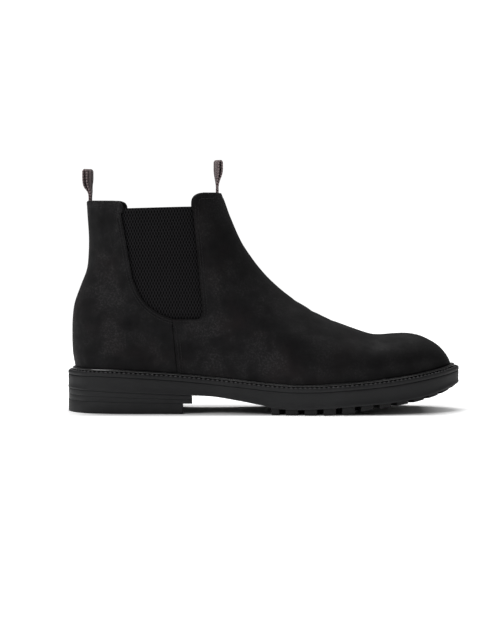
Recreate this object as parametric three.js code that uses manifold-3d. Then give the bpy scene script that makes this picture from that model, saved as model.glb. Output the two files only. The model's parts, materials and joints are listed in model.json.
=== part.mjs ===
// A chelsea boot for the right foot, men's UK 8 (EU 42). Lengths are in millimetres.
// +X points to the toe, +Y to the inner (medial) side of the foot and +Z up. The origin is on the
// floor, under the middle of the sole. The upper is three nested layers over a last: leather, then
// stiffeners, interlining and elastic, then lining. Below it are the insole parts, the welt and the
// rubber bottom. Each pull tab is a ribbon loop that folds about the top line.
import * as THREE from "three";
import { mergeVertices } from "three/addons/utils/BufferGeometryUtils.js";
import Module from "manifold-3d";

const wasm = await Module();
wasm.setup();

// ---- Overall sizes ----
const LENGTH = 306; // sole, heel to toe
const WIDTH = 106; // sole, across the ball of the foot
const SHAFT_TOP = 170; // top line at the front, above the floor
const REAR_TOP = 163.5; // top line at the back
const TOE_BOX_TOP = 60; // top of the toe box, above the floor
const CLEARANCE = 0.3; // between pieces that lie on each other

// ---- Sheet thicknesses ----
const LEATHER = 1.8;
const MIDDLE = 1.4; // stiffeners, interlining, elastic and ribbon ends
const LINING = 1.0;
const INSOLE = 2.5;
const SOCK = 3.0;
const SOCK_SKIN = 1.2; // what is left of the sock over the heel pad
const SHANK_THICK = 1.3;
const WELT = 3.0;
const RIBBON = 1.1;

// ---- Widths and laps ----
const LEDGE = 6; // welt showing outside the upper
const BEAD_WIDTH = 2.6;
const BEAD_HEIGHT = 2.8;
const LASTING_MARGIN = 16; // upper turned in under the insole
const RIB = 2; // insole rib
const RIB_ROOM = 0.8; // on each side of the rib
const PAD_INSET = 14; // heel pad inside the feather line
const SHANK_WIDTH = 14;
const SHANK_LENGTH = 120;

// ---- Elastic gore ----
const GORE_TOP = 157.5; // at its back edge
const GORE_RISE = 2; // and this much higher at its front edge
const GORE_WIDTH = 56; // across its top
const GORE_DEPTH = 85;
const GORE_LEAN = 8; // its front edge runs this far forward on the way down
const GORE_SETBACK = 21; // from the front of the shaft at the top line
const GORE_LAP = 7; // elastic hidden under the leather
const GORE_CORNER = 6;
const EAR_RADIUS = 6.5; // rounded corner of the leather beside the gore
const SEAM_FROM_FRONT = 16; // side seam, behind the gore's front edge
const SEAM_LEAN = 4.5;

// ---- Stiffeners ----
const TOE_PUFF_LENGTH = 60; // back from the toe
const COUNTER_LENGTH = 74; // forward from the heel
const COUNTER_HEIGHT = 58; // above the feather line

// ---- Rubber bottom ----
const BREAST = 91; // heel's front face at its sides, from the back of the sole
const LIFT_OVERHANG = 6.5; // the lifts reach this far in front of the top piece
const BREAST_RADIUS = 100;
const HEEL_INSET = 0.5;
const TREAD_INSET = 1.8;
const TREAD_START = 158; // first forepart lug, from the back of the sole
const TREAD_SPLIT = 210; // channel right across the tread, from the back of the sole
const TREAD_GROOVE = 5;
const LUG_PITCH = 14.6;
const LUG_DEPTH = 19; // edge lugs, inward from the side
const CHANNEL = 4; // between the edge lugs and the middle pads
const GROOVE_REACH = 12; // tall enough to cut through the tread

// ---- Heel nails ----
const NAIL_RADIUS = 1.1;
const NAIL_HEAD = 2.5;
const NAIL_HEAD_HEIGHT = 1.2;
const NAIL_LENGTH = 20;
const NAIL_RING = 19;
const NAIL_COUNT = 5;
const NAIL_FROM_BACK = 40;

// ---- Pull tabs ----
const TAB_WIDTH = 12;
const TAB_ANCHOR = 15; // sewn in below the top line
const TAB_NECK = 3.2; // the plies stay together this far above the fold line
const TAB_SEGMENTS = 5;
const REAR_TAB = { height: 24, radius: 3.7, lean: -2.2, taper: 12 };
const FRONT_TAB = { height: 24.5, radius: 3.4, lean: 0.8, taper: 15 };

// ---- Mesh steps ----
const PLAN_STEPS = 24; // along each side of a plan outline
const FINE_STEPS = 400; // round a plan outline
const INSET_STEP = 3;
const COLUMNS = 16; // round each side of the last, back to ridge
const ROWS = 11; // up the last
const FAR = 400; // past every piece

// ================= Curves =================

const mix = (a, b, t) => a + (b - a) * t;

// 0 below `from`, 1 above `to`, smooth between.
function ease(value, from, to) {
  const t = Math.min(1, Math.max(0, (value - from) / (to - from)));
  return t * t * (3 - 2 * t);
}

// A smooth curve through points sorted by their first number, level beyond both ends.
function through(points) {
  const last = points.length - 1;
  const slopes = points.map((p, i) => {
    const a = points[Math.max(i - 1, 0)];
    const b = points[Math.min(i + 1, last)];
    return (b[1] - a[1]) / (b[0] - a[0]);
  });
  return (x) => {
    if (x <= points[0][0]) return points[0][1];
    if (x >= points[last][0]) return points[last][1];
    const i = points.findIndex((p) => p[0] > x) - 1;
    const span = points[i + 1][0] - points[i][0];
    const t = (x - points[i][0]) / span;
    const rise = t * t * (3 - 2 * t);
    return (
      mix(points[i][1], points[i + 1][1], rise) +
      span * (slopes[i] * t * (1 - t) * (1 - t) - slopes[i + 1] * t * t * (1 - t))
    );
  };
}

// A height line along the sole: its points are [share of the length from the heel, height].
const alongSole = (points) => through(points.map(([share, z]) => [(share - 0.5) * LENGTH, z]));

// Top of the welt, which the upper stands on.
const ledge = alongSole([
  [0, 32], [0.14, 31], [0.29, 28.2], [0.435, 24], [0.53, 21.2], [0.6, 20.5], [0.68, 21.6], [0.83, 25.7],
  [0.925, 30.2], [1, 34.5],
]);
// Underside of the outsole between its lugs.
const treadline = alongSole([
  [0, 18.2], [0.14, 16.3], [0.29, 14.4], [0.37, 13.6], [0.44, 10.4], [0.515, 6.6], [0.58, 5.5], [0.64, 6.3],
  [0.73, 8.3], [0.83, 10.8], [0.905, 14.4], [0.96, 19], [1, 23],
]);
// Foot of the lugs: flat on the floor under the ball, then rising with the toe spring.
const toeSpring = alongSole([
  [0.64, 0], [0.66, 0.1], [0.72, 2], [0.775, 4.9], [0.84, 7.3], [0.89, 9.9], [0.95, 14.8], [1, 21.5],
]);
const lugline = (x) => Math.max(0, toeSpring(x));
const topPieceLine = alongSole([[0, 9.4], [0.3, 8]]);
const upperFoot = (x) => ledge(x) + CLEARANCE;

// ================= Plan outlines =================

// Sole outline from the back of the heel along the outer side to the toe and back: [length share, half-width share].
const SOLE_SHAPE = [
  [0, 0], [0.023, -0.38], [0.072, -0.6], [0.147, -0.68], [0.26, -0.69], [0.375, -0.735], [0.49, -0.86],
  [0.59, -0.965], [0.68, -1], [0.77, -0.945], [0.856, -0.775], [0.928, -0.53], [0.977, -0.23], [1, 0.1],
  [0.99, 0.38], [0.957, 0.585], [0.9, 0.775], [0.817, 0.925], [0.735, 1], [0.65, 0.955], [0.555, 0.79],
  [0.457, 0.64], [0.36, 0.585], [0.26, 0.61], [0.147, 0.66], [0.072, 0.59], [0.023, 0.37],
];

// The sole's outline as a fine closed loop, anticlockwise, scaled to its exact size.
function soleLoop() {
  const curve = new THREE.CatmullRomCurve3(SOLE_SHAPE.map(([x, y]) => new THREE.Vector3(x, y)), true);
  const points = curve.getSpacedPoints(FINE_STEPS).slice(0, -1);
  const box = new THREE.Box3().setFromPoints(points);
  const size = box.getSize(new THREE.Vector3());
  const centre = box.getCenter(new THREE.Vector3());
  return points.map(
    (p) => new THREE.Vector2(((p.x - centre.x) / size.x) * LENGTH, ((p.y - centre.y) / size.y) * WIDTH),
  );
}

// A loop moved inward by `inset`, in small steps so that tight bends stay clean.
function movedIn(loop, inset) {
  if (inset <= 0) return loop;
  const move = Math.min(inset, INSET_STEP);
  const moved = loop.map((p, i) => {
    const along = loop[(i + 1) % loop.length].clone().sub(loop.at(i - 1)).normalize();
    return new THREE.Vector3(p.x - along.y * move, p.y + along.x * move, 0);
  });
  const outline = new THREE.CatmullRomCurve3(moved, true, "chordal");
  outline.arcLengthDivisions = FINE_STEPS;
  const next = outline.getSpacedPoints(FINE_STEPS).slice(0, -1).map((p) => new THREE.Vector2(p.x, p.y));
  return movedIn(next, inset - move);
}

// A loop's two sides, each from the heel to the toe.
function sidesOf(loop) {
  const heel = loop.reduce((best, p, i) => (p.x < loop[best].x ? i : best), 0);
  const turned = [...loop.slice(heel), ...loop.slice(0, heel)];
  const toe = turned.reduce((best, p, i) => (p.x > turned[best].x ? i : best), 0);
  return { outer: turned.slice(0, toe + 1), inner: [...turned.slice(toe), turned[0]].reverse() };
}

// Points of a side at places along the sole that crowd towards the heel and the toe.
function crowded(side) {
  const rising = side.filter((p, i) => i === 0 || p.x > side[i - 1].x);
  return Array.from({ length: PLAN_STEPS + 1 }, (_, n) => {
    const x = mix(side[0].x, side.at(-1).x, (1 - Math.cos((Math.PI * n) / PLAN_STEPS)) / 2);
    const i = Math.max(1, rising.findIndex((p) => p.x >= x - 1e-9));
    return rising[i - 1].clone().lerp(rising[i], (x - rising[i - 1].x) / (rising[i].x - rising[i - 1].x));
  });
}

// The sole's outline moved inward, as a closed anticlockwise loop.
function planLoop(inset) {
  const { outer, inner } = sidesOf(movedIn(soleLoop(), inset));
  return [...crowded(outer), ...crowded(inner).slice(1, -1).reverse()];
}

// Feather line: where the upper meets the welt. Its half-widths are read from a fine copy.
const feather = sidesOf(movedIn(soleLoop(), LEDGE));
const featherBack = feather.outer[0];
const featherTip = feather.outer.at(-1);
const backX = featherBack.x;
const tipX = featherTip.x;

// The ridge of the last swings towards the inner side at the toe.
const ridgeY = (x) => mix(featherBack.y, featherTip.y, ease(x, backX, tipX));

function sideReader(side) {
  const rows = side.map((p) => [p.x, Math.abs(p.y - ridgeY(p.x))]);
  const table = rows.filter((row, i) => i === 0 || row[0] > rows[i - 1][0]);
  return (x) => {
    if (x <= table[0][0] || x >= table.at(-1)[0]) return 0;
    const i = table.findIndex((row) => row[0] > x) - 1;
    return mix(table[i][1], table[i + 1][1], (x - table[i][0]) / (table[i + 1][0] - table[i][0]));
  };
}
const featherHalf = { outer: sideReader(feather.outer), inner: sideReader(feather.inner) };
// Inside the feather line, outlines are the feather line's own shape made smaller by `margin` all round.
function lastingLoop(margin) {
  const loop = planLoop(LEDGE);
  const box = new THREE.Box2().setFromPoints(loop);
  const centre = box.getCenter(new THREE.Vector2());
  const size = box.getSize(new THREE.Vector2());
  const scale = size.clone().subScalar(2 * margin).divide(size);
  return loop.map((p) => p.clone().sub(centre).multiply(scale).add(centre));
}

// The middle of the sole at a place along it.
const middleY = (x) => ridgeY(x) + (featherHalf.inner(x) - featherHalf.outer(x)) / 2;

// ================= The last =================

const HEEL_ROUND = 42; // length of the heel's rounding in plan
const SHAFT_HALF = 34; // half-width of the shaft
const BULGE = 2.2; // the wall stands this far outside the feather line
const BULGE_RISE = 14;
const LAST_TOP = SHAFT_TOP + 10;

const shareX = (share) => (share - 0.5) * LENGTH;
const heelFoot = upperFoot(backX);
const toeFoot = upperFoot(tipX);

// Back of the boot: [share of the height from feather line to rear top, share of the length].
const backLine = through(
  [
    [0, 0.0196], [0.11, 0.0115], [0.25, 0.0102], [0.33, 0.0128], [0.4, 0.018], [0.5, 0.033], [0.6, 0.0487],
    [0.7, 0.0536], [0.78, 0.054], [0.9, 0.0507], [1, 0.0484], [1.2, 0.046],
  ].map(([level, share]) => [mix(heelFoot, REAR_TOP, level), shareX(share)]),
);

// Ridge of the boot from the toe to above the top line. Levels run from -1 at the toe's feather line
// to 0 at the top of the toe box and 1 at the top line.
const ridgeLevel = (level) =>
  level < 0 ? mix(TOE_BOX_TOP, toeFoot, -level) : mix(TOE_BOX_TOP, SHAFT_TOP, level);
const RIDGE_SHAPE = [
  [0.9804, -1], [0.9748, -0.78], [0.962, -0.55], [0.9464, -0.37], [0.927, -0.22], [0.9, -0.07], [0.868, 0],
  [0.83, 0], [0.79, -0.025], [0.765, 0.003], [0.73, 0.035], [0.676, 0.09], [0.633, 0.147], [0.566, 0.262],
  [0.518, 0.374], [0.482, 0.488], [0.454, 0.6], [0.431, 0.716], [0.4134, 0.83], [0.4, 0.943], [0.3902, 1],
  [0.377, 1.12],
];
const ridgeCurve = new THREE.SplineCurve(
  RIDGE_SHAPE.map(([share, level], i) => new THREE.Vector2(i ? shareX(share) : tipX, ridgeLevel(level))),
);
const ridgePoints = ridgeCurve.getSpacedPoints(FINE_STEPS);

function readRidge(from, to, value) {
  const i = ridgePoints.findIndex((p) => (p[from] - value) * (from === "x" ? -1 : 1) > 0);
  if (i <= 0) return (i < 0 ? ridgePoints.at(-1) : ridgePoints[0])[to];
  const [a, b] = [ridgePoints[i - 1], ridgePoints[i]];
  return mix(a[to], b[to], (value - a[from]) / (b[from] - a[from]));
}
const SHIN_SLOPE = 2.2; // the ridge's rise per step back, where it is continued above the top line
const ridgeHeight = (x) => readRidge("x", "y", x) + Math.max(0, ridgePoints.at(-1).x - x) * SHIN_SLOPE;
// Front of the shaft at a height above the toe box.
const shinX = (z) => (z < TOE_BOX_TOP + 2 ? tipX : readRidge("y", "x", z));

// Distance of the last's skin from its ridge plane at a place in the side view.
function halfWidth(side, x, z) {
  const foot = upperFoot(x);
  // Heel rounding follows the back line up the boot.
  const back = backLine(z);
  const shift = (back - backX) * (1 - ease(x, back, back + 90));
  const heelWidth = featherHalf[side](backX + HEEL_ROUND);
  const planX = x - shift;
  const heel = planX < backX + HEEL_ROUND ? featherHalf[side](planX) / heelWidth : 1;
  const plan = planX < backX + HEEL_ROUND ? heelWidth : featherHalf[side](planX);
  const body = mix(plan, SHAFT_HALF, ease(z, 55, 115)) + BULGE * ease(z, foot, foot + BULGE_RISE);
  // Rounding over the ridge: measured upwards on the foot and forwards on the shaft.
  const wallTop = foot + 0.25 * (ridgeHeight(x) - foot);
  const upwards = Math.min(1, Math.max(0, (z - wallTop) / (ridgeHeight(x) - wallTop)));
  const roundLength = mix(85, 52, ease(z, 90, SHAFT_TOP));
  const forwards = Math.min(1, Math.max(0, (x - shinX(z)) / roundLength + 1));
  const onShaft = ease((z - TOE_BOX_TOP) / 60 - (x + 10) / 50, 0, 1);
  const over = mix(upwards, forwards, onShaft);
  const power = mix(mix(1.75, 2.4, ease(x, 20, 110)), 2.2, onShaft);
  return heel * body * Math.pow(1 - Math.pow(over, power), 1 / 1.9);
}

// A place on the skin in the side view: v runs up from the feather line, u from the back to the ridge.
function sidePlace(u, v) {
  const s = (1 - Math.cos(Math.PI * u)) / 2;
  const ring = (level) => {
    const z = mix(heelFoot, LAST_TOP, level);
    const t = level * (0.7 + 0.3 * level);
    const end = ridgeCurve.getPointAt(t);
    const tangent = ridgeCurve.getTangentAt(t);
    const reach = mix(9, 34, ease(end.y, TOE_BOX_TOP + 4, TOE_BOX_TOP + 45));
    const start = new THREE.Vector2(backLine(z), z);
    const arrive = new THREE.Vector2(end.x - tangent.y * reach, end.y + tangent.x * reach);
    const leave = new THREE.Vector2(start.x + 25, start.y);
    return new THREE.CubicBezierCurve(start, leave, arrive, end).getPoint(s);
  };
  const place = ring(v);
  const base = ring(0);
  const footX = mix(backX, tipX, s);
  const fade = Math.pow(1 - v, 3);
  place.x += fade * (footX - base.x);
  place.y += fade * (upperFoot(footX) - base.y);
  return place;
}

// A point of the skin. `turn` goes round: 0 at the back, 1 at the ridge and 2 at the back again.
function skinPoint(turn, v) {
  const side = turn >= 0 && turn <= 1 ? "outer" : "inner";
  const u = turn < 0 ? -turn : Math.min(turn, 2 - turn);
  const place = sidePlace(u, v);
  const half = u === 0 || u === 1 ? 0 : halfWidth(side, place.x, place.y);
  return new THREE.Vector3(place.x, ridgeY(place.x) + (side === "outer" ? -half : half), place.y);
}

// The way out of the skin there. At the feather line it is level, and as long as takes a layer's
// foot from one sheet's surface to the next while it climbs by the same depth.
function skinNormal(turn, v) {
  const step = 0.01;
  const across = skinPoint(turn + step, v).sub(skinPoint(turn - step, v));
  const up = skinPoint(turn, Math.min(v + step, 1)).sub(skinPoint(turn, Math.max(v - step, 0)));
  const normal = across.cross(up).normalize();
  if (v > 0) return normal;
  const lean = normal.z;
  return normal.setZ(0).setLength((1 + lean) / Math.sqrt(1 - lean * lean));
}

// The skin as rings, each anticlockwise from the back of the boot.
const rings = Array.from({ length: ROWS + 1 }, (_, row) =>
  Array.from({ length: 2 * COLUMNS }, (_, column) => ({
    point: skinPoint(column / COLUMNS, row / ROWS),
    normal: skinNormal(column / COLUMNS, row / ROWS),
  })),
);

// ================= Solids =================

const gap = CLEARANCE;
const middleDepth = LEATHER + gap;
const liningDepth = middleDepth + MIDDLE + gap;
const insideDepth = liningDepth + LINING + gap;

// A closed manifold-3d solid from a list of numbers, three to a point, and its triangles.
function solidFrom(numbers, triangles) {
  return new wasm.Manifold(
    new wasm.Mesh({ numProp: 3, vertProperties: Float32Array.from(numbers), triVerts: Uint32Array.from(triangles) }),
  );
}

// A closed three.js geometry as a solid.
function solidOf(geometry) {
  const bare = geometry.clone();
  bare.deleteAttribute("normal");
  bare.deleteAttribute("uv");
  const merged = mergeVertices(bare, 1e-4);
  return solidFrom(merged.attributes.position.array, merged.index.array);
}

// Joins two rings of `count` points, starting at `low` and `high` in the list, with triangles that
// split each facet along its shorter diagonal.
function band(points, low, high, count) {
  return Array.from({ length: count }, (_, i) => {
    const j = (i + 1) % count;
    const [a, b, c, d] = [low + i, low + j, high + j, high + i];
    const short = points[a].distanceTo(points[c]) < points[b].distanceTo(points[d]);
    return short ? [a, b, c, a, c, d] : [a, b, d, b, c, d];
  }).flat();
}

// Closes a ring whose two halves mirror each other, facing up or down.
function cap(first, half, up) {
  const far = (i) => first + ((2 * half - i) % (2 * half));
  const triangles = [];
  for (let i = 0; i < half; i++) {
    const [a, b, c, d] = [first + i, first + i + 1, far(i + 1), far(i)];
    if (b !== c) triangles.push(...(up ? [a, b, c] : [a, c, b]));
    if (a !== d) triangles.push(...(up ? [a, c, d] : [a, d, c]));
  }
  return triangles;
}

// Triangles between the skin's rings, the same at every depth.
const skinPoints = rings.flat().map(({ point }) => point);
const skinTriangles = rings.slice(1).flatMap((_, row) =>
  band(skinPoints, row * 2 * COLUMNS, (row + 1) * 2 * COLUMNS, 2 * COLUMNS),
);

// The last's skin moved inward by `depth`, closed at the bottom and the top.
function lastBody(depth) {
  const numbers = rings.flatMap((ring, row) =>
    ring.flatMap(({ point, normal }) => {
      const p = point.clone().addScaledVector(normal, -depth);
      return [p.x, p.y, row === 0 ? upperFoot(p.x) + depth : p.z];
    }),
  );
  const lids = [...cap(0, COLUMNS, false), ...cap(ROWS * 2 * COLUMNS, COLUMNS, true)];
  return solidFrom(numbers, [...skinTriangles, ...lids]);
}

// A plan loop laid on a height line.
const lay = (loop, height) => loop.map((p) => new THREE.Vector3(p.x, p.y, height(p.x)));
const flat = (points) => points.flatMap((p) => p.toArray());

// A plate with a plan outline, between two height lines.
function slab(loop, bottom, top) {
  const count = loop.length;
  const points = [...lay(loop, bottom), ...lay(loop, top)];
  const lids = [...cap(0, count / 2, false), ...cap(count, count / 2, true)];
  return solidFrom(flat(points), [...lids, ...band(points, 0, count, count)]);
}

// A slab with a hole through it; both loops have as many points.
function ringSlab(outer, inner, bottom, top) {
  const count = outer.length;
  const points = [outer, inner].flatMap((loop) => [...lay(loop, bottom), ...lay(loop, top)]);
  return solidFrom(flat(points), [
    ...band(points, 0, count, count),
    ...band(points, count, 3 * count, count),
    ...band(points, 3 * count, 2 * count, count),
    ...band(points, 2 * count, 0, count),
  ]);
}

// A side-view shape pushed right through the boot, or through one side of it.
function sideCut(shape, yFrom = -FAR, yTo = FAR) {
  const geometry = new THREE.ExtrudeGeometry(shape, { depth: yTo - yFrom, bevelEnabled: false, curveSegments: 8 });
  geometry.translate(0, 0, -yTo).rotateX(Math.PI / 2);
  return solidOf(geometry);
}

function block(x0, x1, y0, y1, z0, z1) {
  const geometry = new THREE.BoxGeometry(x1 - x0, y1 - y0, z1 - z0);
  return solidOf(geometry.translate((x0 + x1) / 2, (y0 + y1) / 2, (z0 + z1) / 2));
}

function polygon(points) {
  return new THREE.Shape(points.map(([x, z]) => new THREE.Vector2(x, z)));
}

// Shell of the last between two depths, with its bottom opened inside the lasting margin.
const marginHole = slab(lastingLoop(LASTING_MARGIN), () => 0, (x) => upperFoot(x) + insideDepth);
function shell(from, to) {
  return lastBody(from).subtract(lastBody(to)).subtract(marginHole);
}

// ================= Side-view shapes of the upper =================

const shinTop = ridgePoints.reduce((best, p) =>
  Math.abs(p.y - SHAFT_TOP) < Math.abs(best.y - SHAFT_TOP) ? p : best,
).x;
const goreFront = shinTop - GORE_SETBACK;
const goreBack = goreFront - GORE_WIDTH;
const goreFloor = GORE_TOP - GORE_DEPTH;

// The gore's outline grown by `grow`, open upwards to `top`.
function goreShape(grow, top) {
  const rise = (share) => goreFloor - grow + share * (GORE_DEPTH + grow);
  const frontFoot = goreFront + GORE_LEAN + grow;
  const shape = new THREE.Shape();
  shape.moveTo(goreFront + grow, top + GORE_RISE);
  shape.lineTo(goreFront + grow, GORE_TOP);
  shape.lineTo(goreFront + grow + GORE_LEAN * 0.94, rise(0.06) + GORE_CORNER / 2);
  shape.quadraticCurveTo(frontFoot, rise(0), frontFoot - GORE_CORNER, rise(0));
  shape.lineTo(goreBack + 0.74 * GORE_WIDTH, rise(0));
  shape.quadraticCurveTo(goreBack + 0.25 * GORE_WIDTH - grow, rise(0.08), goreBack + 0.15 * GORE_WIDTH - grow, rise(0.43));
  shape.lineTo(goreBack - grow, GORE_TOP);
  shape.lineTo(goreBack - grow, top);
  return shape;
}

// Everything above the leather's top line, with the rounded ears beside the gore.
function aboveTopLine() {
  const shape = new THREE.Shape();
  const dip = GORE_TOP - CLEARANCE;
  shape.moveTo(-FAR, FAR);
  shape.lineTo(-FAR, REAR_TOP);
  shape.lineTo(goreBack - EAR_RADIUS * 0.7, REAR_TOP);
  shape.quadraticCurveTo(goreBack + EAR_RADIUS * 0.3, REAR_TOP, goreBack + EAR_RADIUS * 0.3, dip);
  shape.lineTo(goreFront, dip + GORE_RISE);
  shape.lineTo(goreFront, SHAFT_TOP - EAR_RADIUS);
  shape.quadraticCurveTo(goreFront, SHAFT_TOP, goreFront + EAR_RADIUS, SHAFT_TOP);
  shape.lineTo(FAR, SHAFT_TOP);
  shape.lineTo(FAR, FAR);
  return shape;
}

const seamTop = goreFront - SEAM_FROM_FRONT;
// Everything behind the side seam, `shift` further forward.
const behindSeam = (shift) =>
  polygon([
    [-FAR, -FAR], [seamTop + SEAM_LEAN * 2 + shift, -goreFloor + 0.1], [seamTop + shift, goreFloor + 1],
    [seamTop + shift, FAR], [-FAR, FAR],
  ]);

// The heel counter: tall at the back, sweeping down to the side seam.
function counterShape(grow) {
  const top = heelFoot + COUNTER_HEIGHT + grow;
  const front = backX + COUNTER_LENGTH + grow;
  const shape = new THREE.Shape();
  shape.moveTo(-FAR, -FAR);
  shape.lineTo(front, -FAR);
  shape.lineTo(front, heelFoot + COUNTER_HEIGHT / 4);
  shape.quadraticCurveTo(front - COUNTER_LENGTH / 2, top, backX + COUNTER_LENGTH / 4, top);
  shape.lineTo(-FAR, top);
  return shape;
}

const above = sideCut(aboveTopLine());
const window = sideCut(goreShape(0, FAR));
const rear = sideCut(behindSeam(0));
const notFront = sideCut(behindSeam(gap));
const outerHalf = block(-FAR, FAR, -FAR, -gap / 2, -FAR, FAR);
const innerHalf = block(-FAR, FAR, gap / 2, FAR, -FAR, FAR);

// The largest body of a solid: slivers left by a cut are dropped.
function mainBody(solid) {
  return solid.decompose().reduce((best, s) => (s.volume() > best.volume() ? s : best));
}

function leatherParts() {
  const leather = shell(0, LEATHER).subtract(above).subtract(window);
  const quarters = leather.intersect(rear);
  return {
    vamp: mainBody(leather.subtract(notFront)),
    quarter_lateral: mainBody(quarters.intersect(outerHalf)),
    quarter_medial: mainBody(quarters.intersect(innerHalf)),
  };
}

// The ribbon end of a pull tab, sewn in at the back or the front of the shaft.
function anchorZone(top, x0, x1, grow) {
  const half = TAB_WIDTH / 2 + grow;
  return block(x0, x1, -half, half, top - TAB_ANCHOR - grow, FAR);
}

function middleParts() {
  const layer = shell(middleDepth, middleDepth + MIDDLE).subtract(above);
  const gore = sideCut(goreShape(GORE_LAP, GORE_TOP));
  const notGore = layer.subtract(sideCut(goreShape(GORE_LAP + gap, FAR)));
  const puffBack = tipX - TOE_PUFF_LENGTH;
  const rearAnchor = (grow) => anchorZone(REAR_TOP, -FAR, seamTop, grow);
  const frontAnchor = (grow) => anchorZone(SHAFT_TOP, seamTop, FAR, grow);
  const counter = notGore.intersect(rear).intersect(sideCut(counterShape(0)));
  const behind = notGore.intersect(rear).subtract(sideCut(counterShape(gap)));
  const ahead = notGore.subtract(notFront).subtract(block(puffBack - gap, FAR, -FAR, FAR, -FAR, FAR));
  return {
    gore_lateral: mainBody(layer.intersect(gore).intersect(outerHalf)),
    gore_medial: mainBody(layer.intersect(gore).intersect(innerHalf)),
    toe_puff: mainBody(notGore.intersect(block(puffBack, FAR, -FAR, FAR, -FAR, FAR))),
    heel_counter: mainBody(counter),
    rear_interlining: mainBody(behind.subtract(rearAnchor(gap))),
    vamp_interlining: mainBody(ahead.subtract(frontAnchor(gap))),
    rear_tab_anchor: mainBody(notGore.intersect(rearAnchor(0))),
    front_tab_anchor: mainBody(notGore.intersect(frontAnchor(0))),
  };
}

function liningParts() {
  const lining = shell(liningDepth, liningDepth + LINING).subtract(above).subtract(window);
  return {
    vamp_lining: mainBody(lining.subtract(notFront)),
    quarter_lining: mainBody(lining.intersect(rear)),
  };
}

// ================= Parts under the foot =================

const over = (line, rise) => (x) => line(x) + rise;

// The shank's outline: a bar with rounded ends along the middle of the waist.
function shankLoop(grow) {
  const steps = 12;
  const side = (sign) =>
    Array.from({ length: steps + 1 }, (_, i) => {
      const along = -Math.cos((Math.PI * i) / steps);
      const x = backX + BREAST + along * (SHANK_LENGTH / 2 + grow);
      return new THREE.Vector2(x, middleY(x) + sign * (SHANK_WIDTH / 2 + grow) * Math.sqrt(1 - along ** 4));
    });
  return [...side(-1), ...side(1).slice(1, -1).reverse()];
}

function insideParts() {
  const cavity = lastBody(insideDepth);
  const footprint = planLoop(LEDGE + liningDepth);
  const board = [over(upperFoot, insideDepth), over(upperFoot, insideDepth + INSOLE)];
  const sockFoot = insideDepth + INSOLE + gap;
  const padTop = sockFoot + SOCK - SOCK_SKIN;
  const padFront = (grow) => block(-FAR, backX + BREAST - PAD_INSET + grow, -FAR, FAR, -FAR, FAR);
  const pad = (inset, z0, z1) => slab(planLoop(LEDGE + inset), over(upperFoot, z0), over(upperFoot, z1));
  const sock = slab(footprint, over(upperFoot, sockFoot), over(upperFoot, sockFoot + SOCK)).intersect(cavity);
  const ribFrom = LASTING_MARGIN + RIB_ROOM;
  const ribTop = over(upperFoot, insideDepth - gap);
  const shankTop = insideDepth - gap * 2;
  const filler = slab(lastingLoop(ribFrom + RIB + RIB_ROOM), over(ledge, -WELT), ribTop);
  const pocket = slab(shankLoop(gap), over(upperFoot, shankTop - SHANK_THICK - gap), over(upperFoot, LAST_TOP));
  return {
    insole_board: mainBody(slab(footprint, ...board).intersect(cavity)),
    sock_liner: mainBody(sock.subtract(pad(PAD_INSET - gap, 0, padTop).intersect(padFront(gap)))),
    heel_pad: mainBody(pad(PAD_INSET, sockFoot, padTop - gap).intersect(padFront(0))),
    insole_rib: ringSlab(lastingLoop(ribFrom), lastingLoop(ribFrom + RIB), upperFoot, ribTop),
    filler: filler.subtract(pocket),
    shank: slab(shankLoop(0), over(upperFoot, shankTop - SHANK_THICK), over(upperFoot, shankTop)),
  };
}

function weltParts() {
  const beadLoops = [planLoop(LEDGE - BEAD_WIDTH), planLoop(LEDGE + BEAD_WIDTH)];
  const bead = ringSlab(...beadLoops, upperFoot, over(upperFoot, BEAD_HEIGHT));
  return {
    storm_bead: mainBody(bead.subtract(lastBody(-gap))),
    welt: ringSlab(planLoop(0), lastingLoop(LASTING_MARGIN), over(ledge, -WELT), ledge),
  };
}

// ================= Rubber bottom =================

const soleBack = -LENGTH / 2;

// Grooves between the edge lugs, square to the outline and a pitch apart on both sides of the split.
function edgeGrooves() {
  const { outer, inner } = sidesOf(soleLoop());
  const cuts = [];
  for (const [side, sign] of [[outer, 1], [inner, -1]]) {
    const splitAt = side.findIndex((p) => p.x > soleBack + TREAD_SPLIT);
    const step = side[splitAt].distanceTo(side[splitAt + 1]);
    for (let n = -3; n <= 9; n++) {
      const i = splitAt + Math.round((n * LUG_PITCH) / step);
      if (n === 0 || i > side.length - 6) continue;
      const along = side[i + 1].clone().sub(side[i - 1]);
      const cut = new THREE.BoxGeometry(TREAD_GROOVE, 2 * LUG_DEPTH, 2 * GROOVE_REACH);
      cut.rotateZ(Math.atan2(along.y, along.x) + (sign < 0 ? Math.PI : 0));
      cut.translate(side[i].x, side[i].y, treadline(side[i].x) - GROOVE_REACH);
      cuts.push(solidOf(cut));
    }
  }
  return cuts.reduce((all, cut) => all.add(cut));
}

function treadLugs() {
  const layer = (inset) => slab(planLoop(inset), lugline, over(treadline, gap));
  const split = soleBack + TREAD_SPLIT;
  const across = block(split - TREAD_GROOVE / 2, split + TREAD_GROOVE / 2, -FAR, FAR, -FAR, FAR);
  const edge = layer(TREAD_INSET).subtract(slab(planLoop(LUG_DEPTH), () => -FAR, () => FAR));
  const middle = layer(LUG_DEPTH + CHANNEL);
  const bars = [];
  for (let n = -2; n <= 4; n++) {
    if (n === 0) continue;
    const x = split + n * LUG_PITCH * 1.5;
    bars.push(block(x - CHANNEL / 2, x + CHANNEL / 2, -FAR, FAR, -FAR, FAR));
  }
  const pads = bars.reduce((left, bar) => left.subtract(bar), middle);
  const forepart = block(soleBack + TREAD_START, FAR, -FAR, FAR, -FAR, FAR);
  return edge.subtract(edgeGrooves()).add(pads).intersect(forepart).subtract(across);
}

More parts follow.
